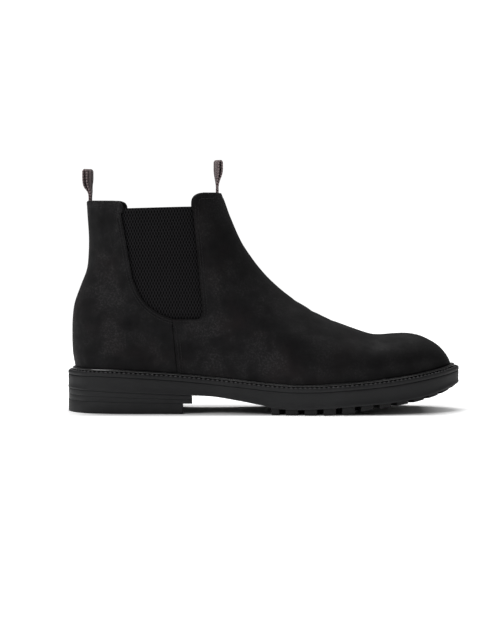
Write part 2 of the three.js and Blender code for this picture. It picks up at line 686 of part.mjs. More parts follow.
// What lies in front of the heel's hollow breast, whose sides are at `front`.
function aheadOfBreast(front) {
  const half = 0.34 * WIDTH;
  const centre = front + Math.sqrt(BREAST_RADIUS ** 2 - half ** 2);
  const drum = new THREE.CylinderGeometry(BREAST_RADIUS, BREAST_RADIUS, 2 * FAR, 48).rotateX(Math.PI / 2);
  return solidOf(drum.translate(centre, 0, 0)).add(block(centre, FAR, -FAR, FAR, -FAR, FAR));
}

// One nail, head up, with its head's top at z = 0.
function nailGeometry(grow) {
  const profile = [
    [0, -NAIL_LENGTH - grow], [NAIL_RADIUS + grow, -NAIL_LENGTH - grow],
    [NAIL_RADIUS + grow, -NAIL_HEAD_HEIGHT - grow], [NAIL_HEAD + grow, -NAIL_HEAD_HEIGHT - grow],
    [NAIL_HEAD + grow, grow ? NAIL_LENGTH : 0], [0, grow ? NAIL_LENGTH : 0],
  ];
  return new THREE.LatheGeometry(profile.map(([r, z]) => new THREE.Vector2(r, z)), 8).rotateX(Math.PI / 2);
}

function nailPlaces() {
  const centre = soleBack + NAIL_FROM_BACK;
  return Array.from({ length: NAIL_COUNT }, (_, i) => {
    const angle = Math.PI / 2 + (Math.PI * i) / (NAIL_COUNT - 1);
    const x = centre + NAIL_RING * Math.cos(angle);
    return new THREE.Vector3(x, NAIL_RING * Math.sin(angle), ledge(x) - WELT - 2 * gap);
  });
}

function bottomParts() {
  const holes = nailPlaces()
    .map((p) => solidOf(nailGeometry(gap).translate(p.x, p.y, p.z)))
    .reduce((all, hole) => all.add(hole));
  const liftLine = (share) => (x) => mix(treadline(x), topPieceLine(x), share);
  const heelLoop = planLoop(HEEL_INSET);
  const breast = soleBack + BREAST;
  const behindLifts = aheadOfBreast(breast + LIFT_OVERHANG);
  const lift = (top, bottom) =>
    slab(heelLoop, over(liftLine(bottom), 0), over(liftLine(top), -gap)).subtract(behindLifts).subtract(holes);
  const plate = slab(planLoop(0), treadline, over(ledge, -WELT - gap));
  return {
    outsole: plate.add(treadLugs()).subtract(holes),
    heel_lift_upper: mainBody(lift(0, 0.5)),
    heel_lift_lower: mainBody(lift(0.5, 1)),
    heel_top_piece: mainBody(
      slab(heelLoop, () => 0, over(topPieceLine, -gap)).subtract(aheadOfBreast(breast)).subtract(holes),
    ),
  };
}

// ================= Pull tabs =================

// A ribbon loop with its fold line at the origin: the plies lie together up the neck, then open.
function tabGeometry({ height, radius, lean, taper }) {
  const straight = height - radius;
  const path = (shape, r, foot, neck) => {
    const open = (neck + taper) / 2;
    shape.lineTo(foot, neck);
    shape.bezierCurveTo(foot, open, lean + r, open, lean + r, taper);
    shape.lineTo(lean + r, straight);
    shape.absarc(lean, straight, r, 0, Math.PI, false);
    shape.lineTo(lean - r, taper);
    shape.bezierCurveTo(lean - r, open, -foot, open, -foot, neck);
  };
  const shape = new THREE.Shape();
  shape.moveTo(-RIBBON, 0);
  shape.absarc(0, 0, RIBBON, Math.PI, 2 * Math.PI, false);
  path(shape, radius, RIBBON, TAB_NECK);
  const hole = new THREE.Path();
  path(hole, radius - RIBBON, 0, TAB_NECK + RIBBON);
  shape.holes.push(hole);
  const options = { depth: TAB_WIDTH, bevelEnabled: false, curveSegments: TAB_SEGMENTS };
  return new THREE.ExtrudeGeometry(shape, options).translate(0, 0, -TAB_WIDTH / 2).rotateX(Math.PI / 2);
}

// The fold line lies over the middle layer, clear of the top line by the ribbon's rounding.
const foldDepth = middleDepth + MIDDLE / 2;
const foldRise = RIBBON + gap;
const rearFold = new THREE.Vector3(backLine(REAR_TOP) + foldDepth, 0, REAR_TOP + foldRise);
const frontFold = new THREE.Vector3(shinTop - foldDepth, 0, SHAFT_TOP + foldRise);

// ================= The boot =================

const COLOURS = {
  leather: [0x1a1a1b, 0.9, 0],
  elastic: [0x161617, 0.85, 0],
  ribbon: [0x8f7d7d, 0.8, 0],
  stiffener: [0xb9a78c, 0.8, 0],
  cloth: [0xd8d2c4, 0.95, 0],
  lining: [0x242122, 0.75, 0],
  board: [0xa98b63, 0.8, 0],
  foam: [0x55524f, 0.95, 0],
  cork: [0x9a6f45, 0.95, 0],
  steel: [0x9aa0a6, 0.35, 1],
  bead: [0x101011, 0.25, 0],
  rubber: [0x232425, 0.6, 0],
};

function material(name) {
  const [color, roughness, metalness] = COLOURS[name];
  return new THREE.MeshStandardMaterial({ name, color, roughness, metalness });
}

function meshOf(name, solid, finish) {
  const made = solid.getMesh();
  const geometry = new THREE.BufferGeometry()
    .setAttribute("position", new THREE.BufferAttribute(made.vertProperties, 3))
    .setIndex(new THREE.BufferAttribute(made.triVerts, 1));
  return Object.assign(new THREE.Mesh(geometry, material(finish)), { name });
}

function placed(name, geometry, finish, position) {
  const mesh = new THREE.Mesh(geometry, material(finish));
  mesh.name = name;
  mesh.position.copy(position);
  return mesh;
}

function groupOf(name, solids, finishes) {
  const group = new THREE.Group();
  group.name = name;
  for (const [part, solid] of Object.entries(solids)) group.add(meshOf(part, solid, finishes[part]));
  return group;
}

const boot = new THREE.Group();
boot.name = "chelsea_boot";
boot.add(
  groupOf("leather", leatherParts(), { vamp: "leather", quarter_lateral: "leather", quarter_medial: "leather" }),
  groupOf("middle", middleParts(), {
    gore_lateral: "elastic",
    gore_medial: "elastic",
    toe_puff: "stiffener",
    heel_counter: "stiffener",
    rear_interlining: "cloth",
    vamp_interlining: "cloth",
    rear_tab_anchor: "ribbon",
    front_tab_anchor: "ribbon",
  }),
  groupOf("linings", liningParts(), { vamp_lining: "lining", quarter_lining: "lining" }),
  groupOf("inside", insideParts(), {
    insole_board: "board",
    sock_liner: "lining",
    heel_pad: "foam",
    insole_rib: "cloth",
    filler: "cork",
    shank: "steel",
  }),
  groupOf("welting", weltParts(), { storm_bead: "bead", welt: "rubber" }),
  groupOf("bottom", bottomParts(), {
    outsole: "rubber",
    heel_lift_upper: "rubber",
    heel_lift_lower: "rubber",
    heel_top_piece: "rubber",
  }),
  placed("rear_tab", tabGeometry(REAR_TAB), "ribbon", rearFold),
  placed("front_tab", tabGeometry(FRONT_TAB), "ribbon", frontFold),
);
nailPlaces().forEach((place, i) => boot.add(placed(`heel_nail_${i + 1}`, nailGeometry(0), "steel", place)));

export default boot;
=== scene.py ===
"""A right-foot chelsea boot: napped black leather, woven elastic gores, ribbon pull tabs, a glossy
storm bead over a stitched welt, and a lugged rubber bottom. The shape works in millimetres, in the
frame's own axes: +X to the toe, +Y to the inner side, +Z up. Meshes and materials are in metres."""

import json
import math

import bpy
import numpy as np
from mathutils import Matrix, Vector
from mathutils.kdtree import KDTree


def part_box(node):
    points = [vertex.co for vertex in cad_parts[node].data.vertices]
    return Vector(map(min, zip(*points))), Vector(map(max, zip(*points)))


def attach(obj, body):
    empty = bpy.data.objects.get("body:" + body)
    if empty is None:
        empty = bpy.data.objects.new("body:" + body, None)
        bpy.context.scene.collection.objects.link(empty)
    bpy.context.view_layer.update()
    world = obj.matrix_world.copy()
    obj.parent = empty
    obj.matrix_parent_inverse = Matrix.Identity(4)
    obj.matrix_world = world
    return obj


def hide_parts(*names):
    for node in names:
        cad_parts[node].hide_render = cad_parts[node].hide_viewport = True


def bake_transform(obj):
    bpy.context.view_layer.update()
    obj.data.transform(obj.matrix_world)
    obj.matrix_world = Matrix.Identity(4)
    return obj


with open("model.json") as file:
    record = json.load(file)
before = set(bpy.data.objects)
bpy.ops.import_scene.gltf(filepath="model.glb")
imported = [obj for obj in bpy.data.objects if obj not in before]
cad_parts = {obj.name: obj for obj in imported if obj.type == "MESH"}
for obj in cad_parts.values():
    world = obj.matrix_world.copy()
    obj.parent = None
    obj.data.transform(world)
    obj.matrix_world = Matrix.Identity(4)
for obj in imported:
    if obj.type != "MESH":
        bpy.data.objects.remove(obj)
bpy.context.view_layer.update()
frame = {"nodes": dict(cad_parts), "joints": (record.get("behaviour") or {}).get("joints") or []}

MM = 0.001


def node_box(node):
    low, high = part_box(node)
    return np.array(low) / MM, np.array(high) / MM


# ---- Sizes read from the frame ----
sole_low, sole_high = node_box("outsole")
LENGTH = sole_high[0] - sole_low[0]
SHAFT_TOP = node_box("vamp")[1][2]
REAR_TOP = node_box("quarter_lateral")[1][2]

# ---- Overall sizes that the frame doesn't state ----
WIDTH = 106.0
TOE_BOX_TOP = 60.0

# ---- Sheets ----
LEATHER = 1.8
SHOWN_LEATHER = 1.55  # the upper's own sheet, clear of what lies under it
GAP = 0.3
MIDDLE = 1.4
LINING = 1.0
INSOLE = 2.5
SOCK = 3.0
MIDDLE_DEPTH = LEATHER + GAP
LINING_DEPTH = MIDDLE_DEPTH + MIDDLE + GAP
SOCK_TOP = LINING_DEPTH + LINING + GAP + INSOLE + GAP + SOCK

# ---- Welt and bead ----
WELT = 3.0
LEDGE = 6.0
BEAD_WIDTH = 2.6
BEAD_HEIGHT = 2.8
GROOVE_INSET = 1.75

# ---- Gore and seam ----
GORE_TOP = 157.5
GORE_RISE = 2.0
GORE_WIDTH = 56.0
GORE_DEPTH = 85.0
GORE_LEAN = 8.0
GORE_SETBACK = 21.0
GORE_LAP = 6.0
GORE_CORNER = 6.0
EAR_RADIUS = 8.5
SEAM_FROM_FRONT = 16.0
SEAM_LEAN = 4.5
COLLAR_REACH = 3.0  # the collars run this far below the gore's top
COLLAR_ROOM = 2.3  # leather cut away under the rolled edge
LINING_ROOM = 1.2
BACK_SEAM_HALF = 0.12

# ---- Stitches: pitch, length, thickness, and the share of the thickness that stands proud ----
GORE_STITCH = (2.3, 1.65, 0.95, 0.5)
SEAM_STITCH = (2.3, 1.6, 0.8, 0.5)
COLLAR_STITCH = (2.3, 1.6, 0.75, 0.42)
SOCK_STITCH = (3.2, 2.2, 0.6, 0.4)
WELT_STITCH = (3.6, 2.7, 1.2, 0.62)

# ---- Rubber bottom ----
BREAST = 91.0
LIFT_OVERHANG = 6.5
HEEL_GROOVE_PITCH = 13.0
HEEL_GROOVE_DEPTH = 1.6
HEEL_GROOVE_REACH = {"y_low": -22.0, "y_high": 20.0}
BREAST_RADIUS = 100.0
HEEL_INSET = 0.3
TREAD_INSET = 1.8
TREAD_START = 158.0
TREAD_SPLIT = 210.0
TREAD_GROOVE = 5.0
LUG_PITCH = 14.6
LUG_DEPTH = 19.0
SHORTEST_LUG = 3.0
SHORTEST_PAD = 4.0
CHANNEL = 4.0
LIP = 1.3
LUG_SINK = 0.6  # how far the lugs reach up into the sole

# ---- Pull tabs ----
RIBBON = 1.1
TAB_WIDTH = 12.0
TAB_NECK = 3.2
TAB_SEWN_IN = 7.0
REAR_TAB = {"height": 24.0, "radius": 2.1, "lean": -1.9, "taper": 12.0, "turn": -23.0}
FRONT_TAB = {"height": 24.5, "radius": 2.0, "lean": 0.8, "taper": 17.0, "turn": 20.0}

# ---- Mesh fineness ----
SOLE_POINTS = 800
SIDE_STEPS = 170
LAST_COLUMNS = 440
LAST_ROWS = 120
LINE_STEP = 0.8


# ================= Curves =================


def mix(a, b, t):
    return a + (b - a) * t


def ease(value, low, high):
    t = np.clip((value - low) / (high - low), 0, 1)
    return t * t * (3 - 2 * t)


def through(points):
    """A smooth curve through points sorted by their first number, level beyond both ends."""
    x, z = np.array(points, float).T
    before = np.maximum(np.arange(len(x)) - 1, 0)
    after = np.minimum(np.arange(len(x)) + 1, len(x) - 1)
    slope = (z[after] - z[before]) / (x[after] - x[before])

    def line(at):
        at = np.clip(at, x[0], x[-1])
        i = np.clip(np.searchsorted(x, at, side="right") - 1, 0, len(x) - 2)
        span = x[i + 1] - x[i]
        t = (at - x[i]) / span
        rise = t * t * (3 - 2 * t)
        bend = slope[i] * t * (1 - t) ** 2 - slope[i + 1] * t * t * (1 - t)
        return mix(z[i], z[i + 1], rise) + span * bend

    return line


def spline(points, closed=False, power=0.25, per=24):
    """Points along a Catmull-Rom curve; power 0.25 is centripetal and 0 is uniform."""
    p = np.array(points, float)
    count = len(p)
    pieces = []
    for i in range(count if closed else count - 1):
        pick = (lambda k: p[k % count]) if closed else (lambda k: p[min(max(k, 0), count - 1)])
        a, b, c, d = pick(i - 1), pick(i), pick(i + 1), pick(i + 2)
        steps = [max(float(np.sum((n - m) ** 2)) ** power, 1e-4) for m, n in ((a, b), (b, c), (c, d))]
        if not closed and i == 0:
            steps[0] = steps[1]
        if not closed and i == count - 2:
            steps[2] = steps[1]
        first = ((b - a) / steps[0] - (c - a) / (steps[0] + steps[1]) + (c - b) / steps[1]) * steps[1]
        last = ((c - b) / steps[1] - (d - b) / (steps[1] + steps[2]) + (d - c) / steps[2]) * steps[1]
        t = np.linspace(0, 1, per, endpoint=False)[:, None]
        pieces.append(
            b + first * t + (-3 * b + 3 * c - 2 * first - last) * t**2 + (2 * b - 2 * c + first + last) * t**3
        )
    line = np.vstack(pieces)
    return line if closed else np.vstack([line, p[-1]])


def lengths(line):
    """How far along a line of points each point is."""
    return np.concatenate([[0], np.cumsum(np.linalg.norm(np.diff(line, axis=0), axis=1))])


def read_along(at, reach, rows):
    """Rows read between their places `reach`, at the places `at`."""
    return np.stack([np.interp(at, reach, column) for column in np.asarray(rows).T], axis=1)


def spaced(line, count):
    """`count` evenly spaced points along a line of points, both ends kept."""
    reach = lengths(line)
    return read_along(np.linspace(0, reach[-1], count), reach, line)


def unit(vectors):
    return vectors / np.linalg.norm(vectors, axis=-1)[..., None]


def heading(line):
    return unit(np.gradient(line, axis=0))


def left_of(run):
    return np.stack([-run[:, 1], run[:, 0]], axis=1)


def ringed(points):
    """A loop with its first point again at its end."""
    return np.vstack([points, points[:1]])


def cubic(a, b, c, d, t):
    """A Bezier curve from a to d that leaves towards b and arrives from c."""
    return (1 - t) ** 3 * a + 3 * (1 - t) ** 2 * t * b + 3 * (1 - t) * t**2 * c + t**3 * d


def bend(start, control, end, count=14):
    """Points of a plain curve pulled towards `control`, without its start."""
    t = np.linspace(0, 1, count + 1)[1:, None]
    start, control, end = (np.array(p, float) for p in (start, control, end))
    return (1 - t) ** 2 * start + 2 * t * (1 - t) * control + t**2 * end


def along_sole(points):
    return through([((share - 0.5) * LENGTH, z) for share, z in points])


ledge = along_sole(
    [
        (0, 32), (0.14, 31), (0.29, 28.2), (0.435, 24), (0.53, 21.2), (0.6, 20.5), (0.68, 21.6),
        (0.83, 25.7), (0.925, 30.2), (1, 34.5),
    ]
)
treadline = along_sole(
    [
        (0, 18.2), (0.14, 16.3), (0.29, 14.4), (0.37, 13.6), (0.44, 10.4), (0.515, 6.6), (0.58, 5.5),
        (0.64, 6.3), (0.73, 8.3), (0.83, 10.8), (0.905, 14.4), (0.96, 19), (1, 23),
    ]
)
toe_spring = along_sole(
    [(0.64, 0), (0.66, 0.1), (0.72, 2), (0.775, 4.9), (0.84, 7.3), (0.89, 9.9), (0.95, 14.8), (1, 21.5)]
)
top_piece_line = along_sole([(0, 9.4), (0.3, 8)])


def lugline(x):
    return np.maximum(0, toe_spring(x))


def upper_foot(x):
    return ledge(x) + GAP


# ================= Plan outlines =================

SOLE_SHAPE = [
    (0, 0), (0.023, -0.38), (0.072, -0.6), (0.147, -0.68), (0.26, -0.69), (0.375, -0.735), (0.49, -0.86),
    (0.59, -0.965), (0.68, -1), (0.77, -0.945), (0.856, -0.775), (0.928, -0.53), (0.977, -0.23), (1, 0.1),
    (0.99, 0.38), (0.957, 0.585), (0.9, 0.775), (0.817, 0.925), (0.735, 1), (0.65, 0.955), (0.555, 0.79),
    (0.457, 0.64), (0.36, 0.585), (0.26, 0.61), (0.147, 0.66), (0.072, 0.59), (0.023, 0.37),
]


def sole_loop():
    points = spaced(np.vstack([spline(SOLE_SHAPE, closed=True), [SOLE_SHAPE[0]]]), SOLE_POINTS + 1)[:-1]
    low, high = points.min(axis=0), points.max(axis=0)
    return (points - (low + high) / 2) / (high - low) * [LENGTH, WIDTH]


def moved_in(loop, inset):
    """A closed loop moved inward, in steps of at most 2 mm."""
    while inset > 1e-9:
        move = min(inset, 2.0)
        along = np.roll(loop, -1, axis=0) - np.roll(loop, 1, axis=0)
        loop = loop + left_of(unit(along)) * move
        loop = spaced(ringed(loop), len(loop) + 1)[:-1]
        smooth = (np.roll(loop, 1, axis=0) + np.roll(loop, -1, axis=0)) / 2
        loop = loop * 0.5 + smooth * 0.5
        inset -= move
    return loop


def sides_of(loop):
    """A loop's outer and inner side, each from the heel to the toe."""
    turned = np.roll(loop, -int(np.argmin(loop[:, 0])), axis=0)
    toe = int(np.argmax(turned[:, 0]))
    return turned[: toe + 1], np.vstack([turned[toe:], turned[:1]])[::-1]


SOLE = sole_loop()
plan_cache = {}


def plan_sides(inset):
    """Outer and inner side of the sole moved in, at shared places along it that crowd at both ends."""
    key = round(float(inset), 3)
    if key not in plan_cache:
        outer, inner = sides_of(moved_in(SOLE, inset))
        low, high = outer[0, 0], outer[-1, 0]
        x = mix(low, high, (1 - np.cos(np.linspace(0, np.pi, SIDE_STEPS + 1))) / 2)
        sides = []
        for side in (outer, inner):
            rising = side[np.concatenate([[True], np.diff(np.maximum.accumulate(side[:, 0])) > 0])]
            sides.append(np.stack([x, np.interp(x, rising[:, 0], rising[:, 1])], axis=1))
        sides[1][0], sides[1][-1] = sides[0][0], sides[0][-1]
        plan_cache[key] = sides
    return plan_cache[key]


def plan_loop(inset):
    outer, inner = plan_sides(inset)
    return np.vstack([outer, inner[1:-1][::-1]])


feather_outer, feather_inner = sides_of(moved_in(SOLE, LEDGE))
BACK_X, BACK_Y = feather_outer[0]
TIP_X, TIP_Y = feather_outer[-1]


def ridge_y(x):
    return mix(BACK_Y, TIP_Y, ease(x, BACK_X, TIP_X))


def feather_half(side, x):
    points = feather_outer if side < 0 else feather_inner
    return np.interp(x, points[:, 0], np.abs(points[:, 1] - ridge_y(points[:, 0])), left=0, right=0)


# ================= The last =================

HEEL_ROUND = 42.0
SHAFT_HALF = 34.0
BULGE = 2.2
BULGE_RISE = 14.0
LAST_TOP = SHAFT_TOP + 10
SHIN_SLOPE = 2.2

HEEL_FOOT = float(upper_foot(BACK_X))
TOE_FOOT = float(upper_foot(TIP_X))


def share_x(share):
    return (share - 0.5) * LENGTH


back_line = through(
    [
        (mix(HEEL_FOOT, REAR_TOP, level), share_x(share))
        for level, share in (
            (0, 0.0196), (0.11, 0.0115), (0.25, 0.0102), (0.33, 0.0128), (0.4, 0.018), (0.5, 0.033),
            (0.6, 0.0487), (0.7, 0.0536), (0.78, 0.054), (0.9, 0.0507), (1, 0.0484), (1.2, 0.046),
        )
    ]
)

RIDGE_SHAPE = [
    (0.9804, -1), (0.9748, -0.78), (0.962, -0.55), (0.9464, -0.37), (0.927, -0.22), (0.9, -0.07),
    (0.868, 0), (0.83, 0), (0.79, -0.025), (0.765, 0.003), (0.73, 0.035), (0.676, 0.09), (0.633, 0.147),
    (0.566, 0.262), (0.518, 0.374), (0.482, 0.488), (0.454, 0.6), (0.431, 0.716), (0.4134, 0.83),
    (0.4, 0.943), (0.3902, 1), (0.377, 1.12),
]


def ridge_level(level):
    return mix(TOE_BOX_TOP, TOE_FOOT, -level) if level < 0 else mix(TOE_BOX_TOP, SHAFT_TOP, level)


ridge = spaced(
    spline(
        [(TIP_X if i == 0 else share_x(s), ridge_level(level)) for i, (s, level) in enumerate(RIDGE_SHAPE)],
        power=0,
    ),
    900,
)
ridge_reach = np.linspace(0, 1, len(ridge))
ridge_run = heading(ridge)
shin = ridge[ridge[:, 1] > TOE_BOX_TOP + 1.5]
shin = shin[np.argmin(shin[:, 1]):]


def ridge_height(x):
    inside = np.interp(x, ridge[::-1, 0], ridge[::-1, 1])
    return inside + np.maximum(0, ridge[-1, 0] - x) * SHIN_SLOPE


def shin_x(z):
    return np.where(z < TOE_BOX_TOP + 2, TIP_X, np.interp(z, shin[:, 1], shin[:, 0]))


def half_width(side, x, z):
    """Distance of the last's skin from its ridge plane; side is -1 for the outer and 1 for the inner."""
    foot = upper_foot(x)
    back = back_line(z)
    plan_x = x - (back - BACK_X) * (1 - ease(x, back, back + 90))
    heel_width = feather_half(side, BACK_X + HEEL_ROUND)
    in_heel = plan_x < BACK_X + HEEL_ROUND
    heel = np.where(in_heel, feather_half(side, plan_x) / heel_width, 1)
    plan = np.where(in_heel, heel_width, feather_half(side, plan_x))
    body = mix(plan, SHAFT_HALF, ease(z, 55, 115)) + BULGE * ease(z, foot, foot + BULGE_RISE)
    top = ridge_height(x)
    wall_top = foot + 0.25 * (top - foot)
    upwards = np.clip((z - wall_top) / np.maximum(top - wall_top, 1e-6), 0, 1)
    forwards = np.clip((x - shin_x(z)) / mix(85, 52, ease(z, 90, SHAFT_TOP)) + 1, 0, 1)
    on_shaft = ease((z - TOE_BOX_TOP) / 60 - (x + 10) / 50, 0, 1)
    over = mix(upwards, forwards, on_shaft)
    power = mix(mix(1.75, 2.4, ease(x, 20, 110)), 2.2, on_shaft)
    return heel * body * np.power(np.maximum(0, 1 - np.power(over, power)), 1 / 1.9)


def side_place(u, v):
    """A place in the side view: v runs up from the feather line, u from the back to the ridge."""
    s = (1 - np.cos(np.pi * u)) / 2

    def ring(level):
        z = mix(HEEL_FOOT, LAST_TOP, level)
        t = level * (0.7 + 0.3 * level)
        end = np.stack([np.interp(t, ridge_reach, ridge[:, k]) for k in (0, 1)])
        run = np.stack([np.interp(t, ridge_reach, ridge_run[:, k]) for k in (0, 1)])
        reach = mix(9, 34, ease(end[1], TOE_BOX_TOP + 4, TOE_BOX_TOP + 45))
        start = np.stack([back_line(z), z])
        arrive = np.stack([end[0] - run[1] * reach, end[1] + run[0] * reach])
        leave = np.stack([start[0] + 25, start[1]])
        return cubic(start, leave, arrive, end, s)

    place = ring(v)
    base = ring(np.zeros_like(v))
    foot_x = mix(BACK_X, TIP_X, s)
    fade = (1 - v) ** 3
    x = place[0] + fade * (foot_x - base[0])
    z = place[1] + fade * (upper_foot(foot_x) - base[1])
    return x, z


def skin(turn, v):
    """A point of the skin; turn is 0 at the back, 1 at the ridge and 2 at the back again."""
    turn = np.mod(turn, 2)
    outer = turn <= 1
    u = np.where(outer, turn, 2 - turn)
    x, z = side_place(u, v)
    half = np.where(outer, half_width(-1, x, z), half_width(1, x, z))
    half = np.where((u < 1e-9) | (u > 1 - 1e-9), 0, half)
    return np.stack([x, ridge_y(x) + np.where(outer, -half, half), z], axis=-1)


def skin_normal(turn, v):
    step = 0.004
    across = skin(turn + step, v) - skin(turn - step, v)
    up = skin(turn, np.minimum(v + step, 1)) - skin(turn, np.maximum(v - step, 0))
    return unit(np.cross(across, up))


guess_u, guess_v = (a.ravel() for a in np.meshgrid(np.linspace(0, 1, 241), np.linspace(0, 1, 181)))
guess_x, guess_z = side_place(guess_u, guess_v)
nearest = KDTree(len(guess_u))
for index, spot in enumerate(zip(guess_x, guess_z)):
    nearest.insert((spot[0], spot[1], 0), index)
nearest.balance()


def located(x, z):
    """The u and v that side_place takes to the places x, z of the side view: a near guess from a grid,
    then Newton's steps, of which the closest is kept."""
    found = [nearest.find((a, b, 0))[1] for a, b in zip(x, z)]
    u, v = guess_u[found], guess_v[found]
    best_u, best_v, best = u, v, np.full(len(u), np.inf)
    step = 1e-4
    for _ in range(9):
        here_x, here_z = side_place(u, v)
        ex, ez = x - here_x, z - here_z
        miss = np.hypot(ex, ez)
        closer = miss < best
        best_u, best_v = np.where(closer, u, best_u), np.where(closer, v, best_v)
        best = np.minimum(miss, best)
        du = np.where(u > 0.5, -step, step)
        dv = np.where(v > 0.5, -step, step)
        ux, uz = side_place(u + du, v)
        vx, vz = side_place(u, v + dv)
        a, b, c, d = (ux - here_x) / du, (vx - here_x) / dv, (uz - here_z) / du, (vz - here_z) / dv
        size = a * d - b * c
        size = np.where(np.abs(size) < 1e-6, 1e-6, size)
        u = np.clip(u + np.clip((d * ex - b * ez) / size, -0.01, 0.01), 0, 1)
        v = np.clip(v + np.clip((a * ez - c * ex) / size, -0.01, 0.01), 0, 1)
    return best_u, best_v


def on_side(side, x, z, depth=0.0):
    """A place given in the side view, laid on one side of the last and sunk by `depth`, with its normal."""
    u, v = located(np.asarray(x, float), np.asarray(z, float))
    turn = u if side < 0 else 2 - u
    normal = skin_normal(turn, v)
    return skin(turn, v) - normal * depth, normal


# ================= Pattern lines of the upper, in the side view =================

shin_top = float(np.interp(SHAFT_TOP, shin[:, 1], shin[:, 0]))
gore_front = shin_top - GORE_SETBACK
gore_back = gore_front - GORE_WIDTH
gore_floor = GORE_TOP - GORE_DEPTH
seam_top = gore_front - SEAM_FROM_FRONT


def gore_edge():
    """The gore's outline from its front top corner down, along and up to its back top corner."""

    def rise(share):
        return gore_floor + share * GORE_DEPTH

    front_foot = gore_front + GORE_LEAN
    corner = (front_foot - GORE_CORNER, rise(0))
    low = (gore_back + 0.74 * GORE_WIDTH, rise(0))
    high = (gore_back + 0.15 * GORE_WIDTH, rise(0.43))
    front = (gore_front + GORE_LEAN * 0.94, rise(0.06) + GORE_CORNER / 2)
    return np.vstack(
        [
            [(gore_front, GORE_TOP + GORE_RISE)],
            [front],
            bend(front, (front_foot, rise(0)), corner),
            [low],
            bend(low, (gore_back + 0.25 * GORE_WIDTH, rise(0.08)), high, 24),
            [(gore_back, GORE_TOP)],
        ]
    )


def rear_topline(lower=0.0):
    """From the back of the boot forward over the rear ear, down to `lower` below the gore's top."""
    ear = gore_back + EAR_RADIUS * 0.2
    shoulder = (ear - EAR_RADIUS, REAR_TOP)
    low = (ear, GORE_TOP)
    top = [[(back_line(REAR_TOP), REAR_TOP)], [shoulder], bend(shoulder, (ear, REAR_TOP), low)]
    return np.vstack(top + ([[(ear, GORE_TOP - lower)]] if lower else []))


def front_topline(lower=0.0):
    """From the ridge back over the front ear, down to `lower` below the gore's top."""
    shoulder = (gore_front + EAR_RADIUS, SHAFT_TOP)
    low = (gore_front, SHAFT_TOP - EAR_RADIUS)
    end = (gore_front, GORE_TOP + GORE_RISE - lower)
    ear = bend(shoulder, (gore_front, SHAFT_TOP), low)
    return np.vstack([[(shin_top, SHAFT_TOP)], [shoulder], ear, [end]])


def beside(outline, inset):
    """A side-view line moved to its left."""
    return outline + left_of(heading(outline)) * inset


SEAM_FOOT = (seam_top + SEAM_LEAN, 26.0)
SEAM_HEAD = (seam_top, gore_floor + 1)
FAR = 260.0  # well past the boot on every side, for cutters


# ================= Making meshes =================


def only(piece):
    """Select this piece and nothing else."""
    bpy.ops.object.select_all(action="DESELECT")
    piece.hide_set(False)
    piece.select_set(True)
    bpy.context.view_layer.objects.active = piece


def coordinates(piece):
    flat = np.empty(len(piece.data.vertices) * 3)
    piece.data.vertices.foreach_get("co", flat)
    return flat.reshape(-1, 3)


def lay(piece, points):
    """Puts a piece's points at places given in millimetres."""
    piece.data.vertices.foreach_set("co", (np.asarray(points) * MM).ravel())
    piece.data.update()


def edit(piece, *steps):
    only(piece)
    bpy.ops.object.mode_set(mode="EDIT")
    bpy.ops.mesh.select_all(action="SELECT")
    for step in steps:
        step()
    bpy.ops.object.mode_set(mode="OBJECT")


def merge():
    bpy.ops.mesh.remove_doubles(threshold=0.00001)


def face_outwards():
    bpy.ops.mesh.normals_make_consistent(inside=False)


def modify(piece, kind, **values):
    only(piece)
    modifier = piece.modifiers.new(kind.lower(), kind)
    for key, value in values.items():
        setattr(modifier, key, value)
    bpy.ops.object.modifier_apply(modifier=modifier.name)


def smooth(piece, degrees=35):
    only(piece)
    bpy.ops.object.shade_smooth_by_angle(angle=math.radians(degrees))


def primitive(name, operator, **values):
    """A new primitive, named and alone in the selection."""
    bpy.ops.object.select_all(action="DESELECT")
    operator(**values)
    piece = bpy.context.object
    piece.name = name
    piece.data.name = name
    return piece


def sheet(name, columns, rows, place, uv=None):
    """A grid laid by place(u, v); u and v run from 0 to 1. `uv` gives each point's pattern place in mm."""
    fineness = {"x_subdivisions": columns, "y_subdivisions": rows}
    piece = primitive(name, bpy.ops.mesh.primitive_grid_add, size=2, **fineness)
    flat = (coordinates(piece)[:, :2] + 1) / 2
    lay(piece, place(flat[:, 0], flat[:, 1]))
    if uv is not None:
        pattern = uv(flat[:, 0], flat[:, 1])
        layer = piece.data.uv_layers.active or piece.data.uv_layers.new(name="pattern")
        corners = np.empty(len(piece.data.loops), dtype=np.int32)
        piece.data.loops.foreach_get("vertex_index", corners)
        layer.data.foreach_set("uv", pattern[corners].astype(np.float32).ravel())
    return piece


def table_sheet(name, table, pattern=None):
    """A grid laid on a table of places, one row of the table after another."""
    rows, columns = table.shape[:2]

    def pick(u, v):
        return np.round(v * (rows - 1)).astype(int), np.round(u * (columns - 1)).astype(int)

    uv = None if pattern is None else lambda u, v: pattern[pick(u, v)]
    return sheet(name, columns - 1, rows - 1, lambda u, v: table[pick(u, v)], uv)


def solid(piece):
    """Closes a wrapped grid: doubled points merge, open ends are filled and faces look outwards."""
    edit(piece, merge, lambda: bpy.ops.mesh.fill_holes(sides=0), face_outwards)
    return piece


def plate(name, loop, bottom, top):
    """A plan outline pushed up from one height line to another."""
    piece = primitive(name, bpy.ops.mesh.primitive_circle_add, vertices=len(loop), radius=1, fill_type="NGON")
    edit(piece, lambda: bpy.ops.mesh.extrude_region_move(TRANSFORM_OT_translate={"value": (0, 0, 1)}))
    places = coordinates(piece)
    turn = np.arctan2(places[:, 1], places[:, 0])
    order = np.round((turn - turn[0]) / (2 * np.pi) * len(loop)).astype(int) % len(loop)
    flat = loop[order]
    z = np.where(places[:, 2] > 0.5, top(flat[:, 0]), bottom(flat[:, 0]))
    lay(piece, np.column_stack([flat, z]))
    edit(piece, face_outwards)
    return piece


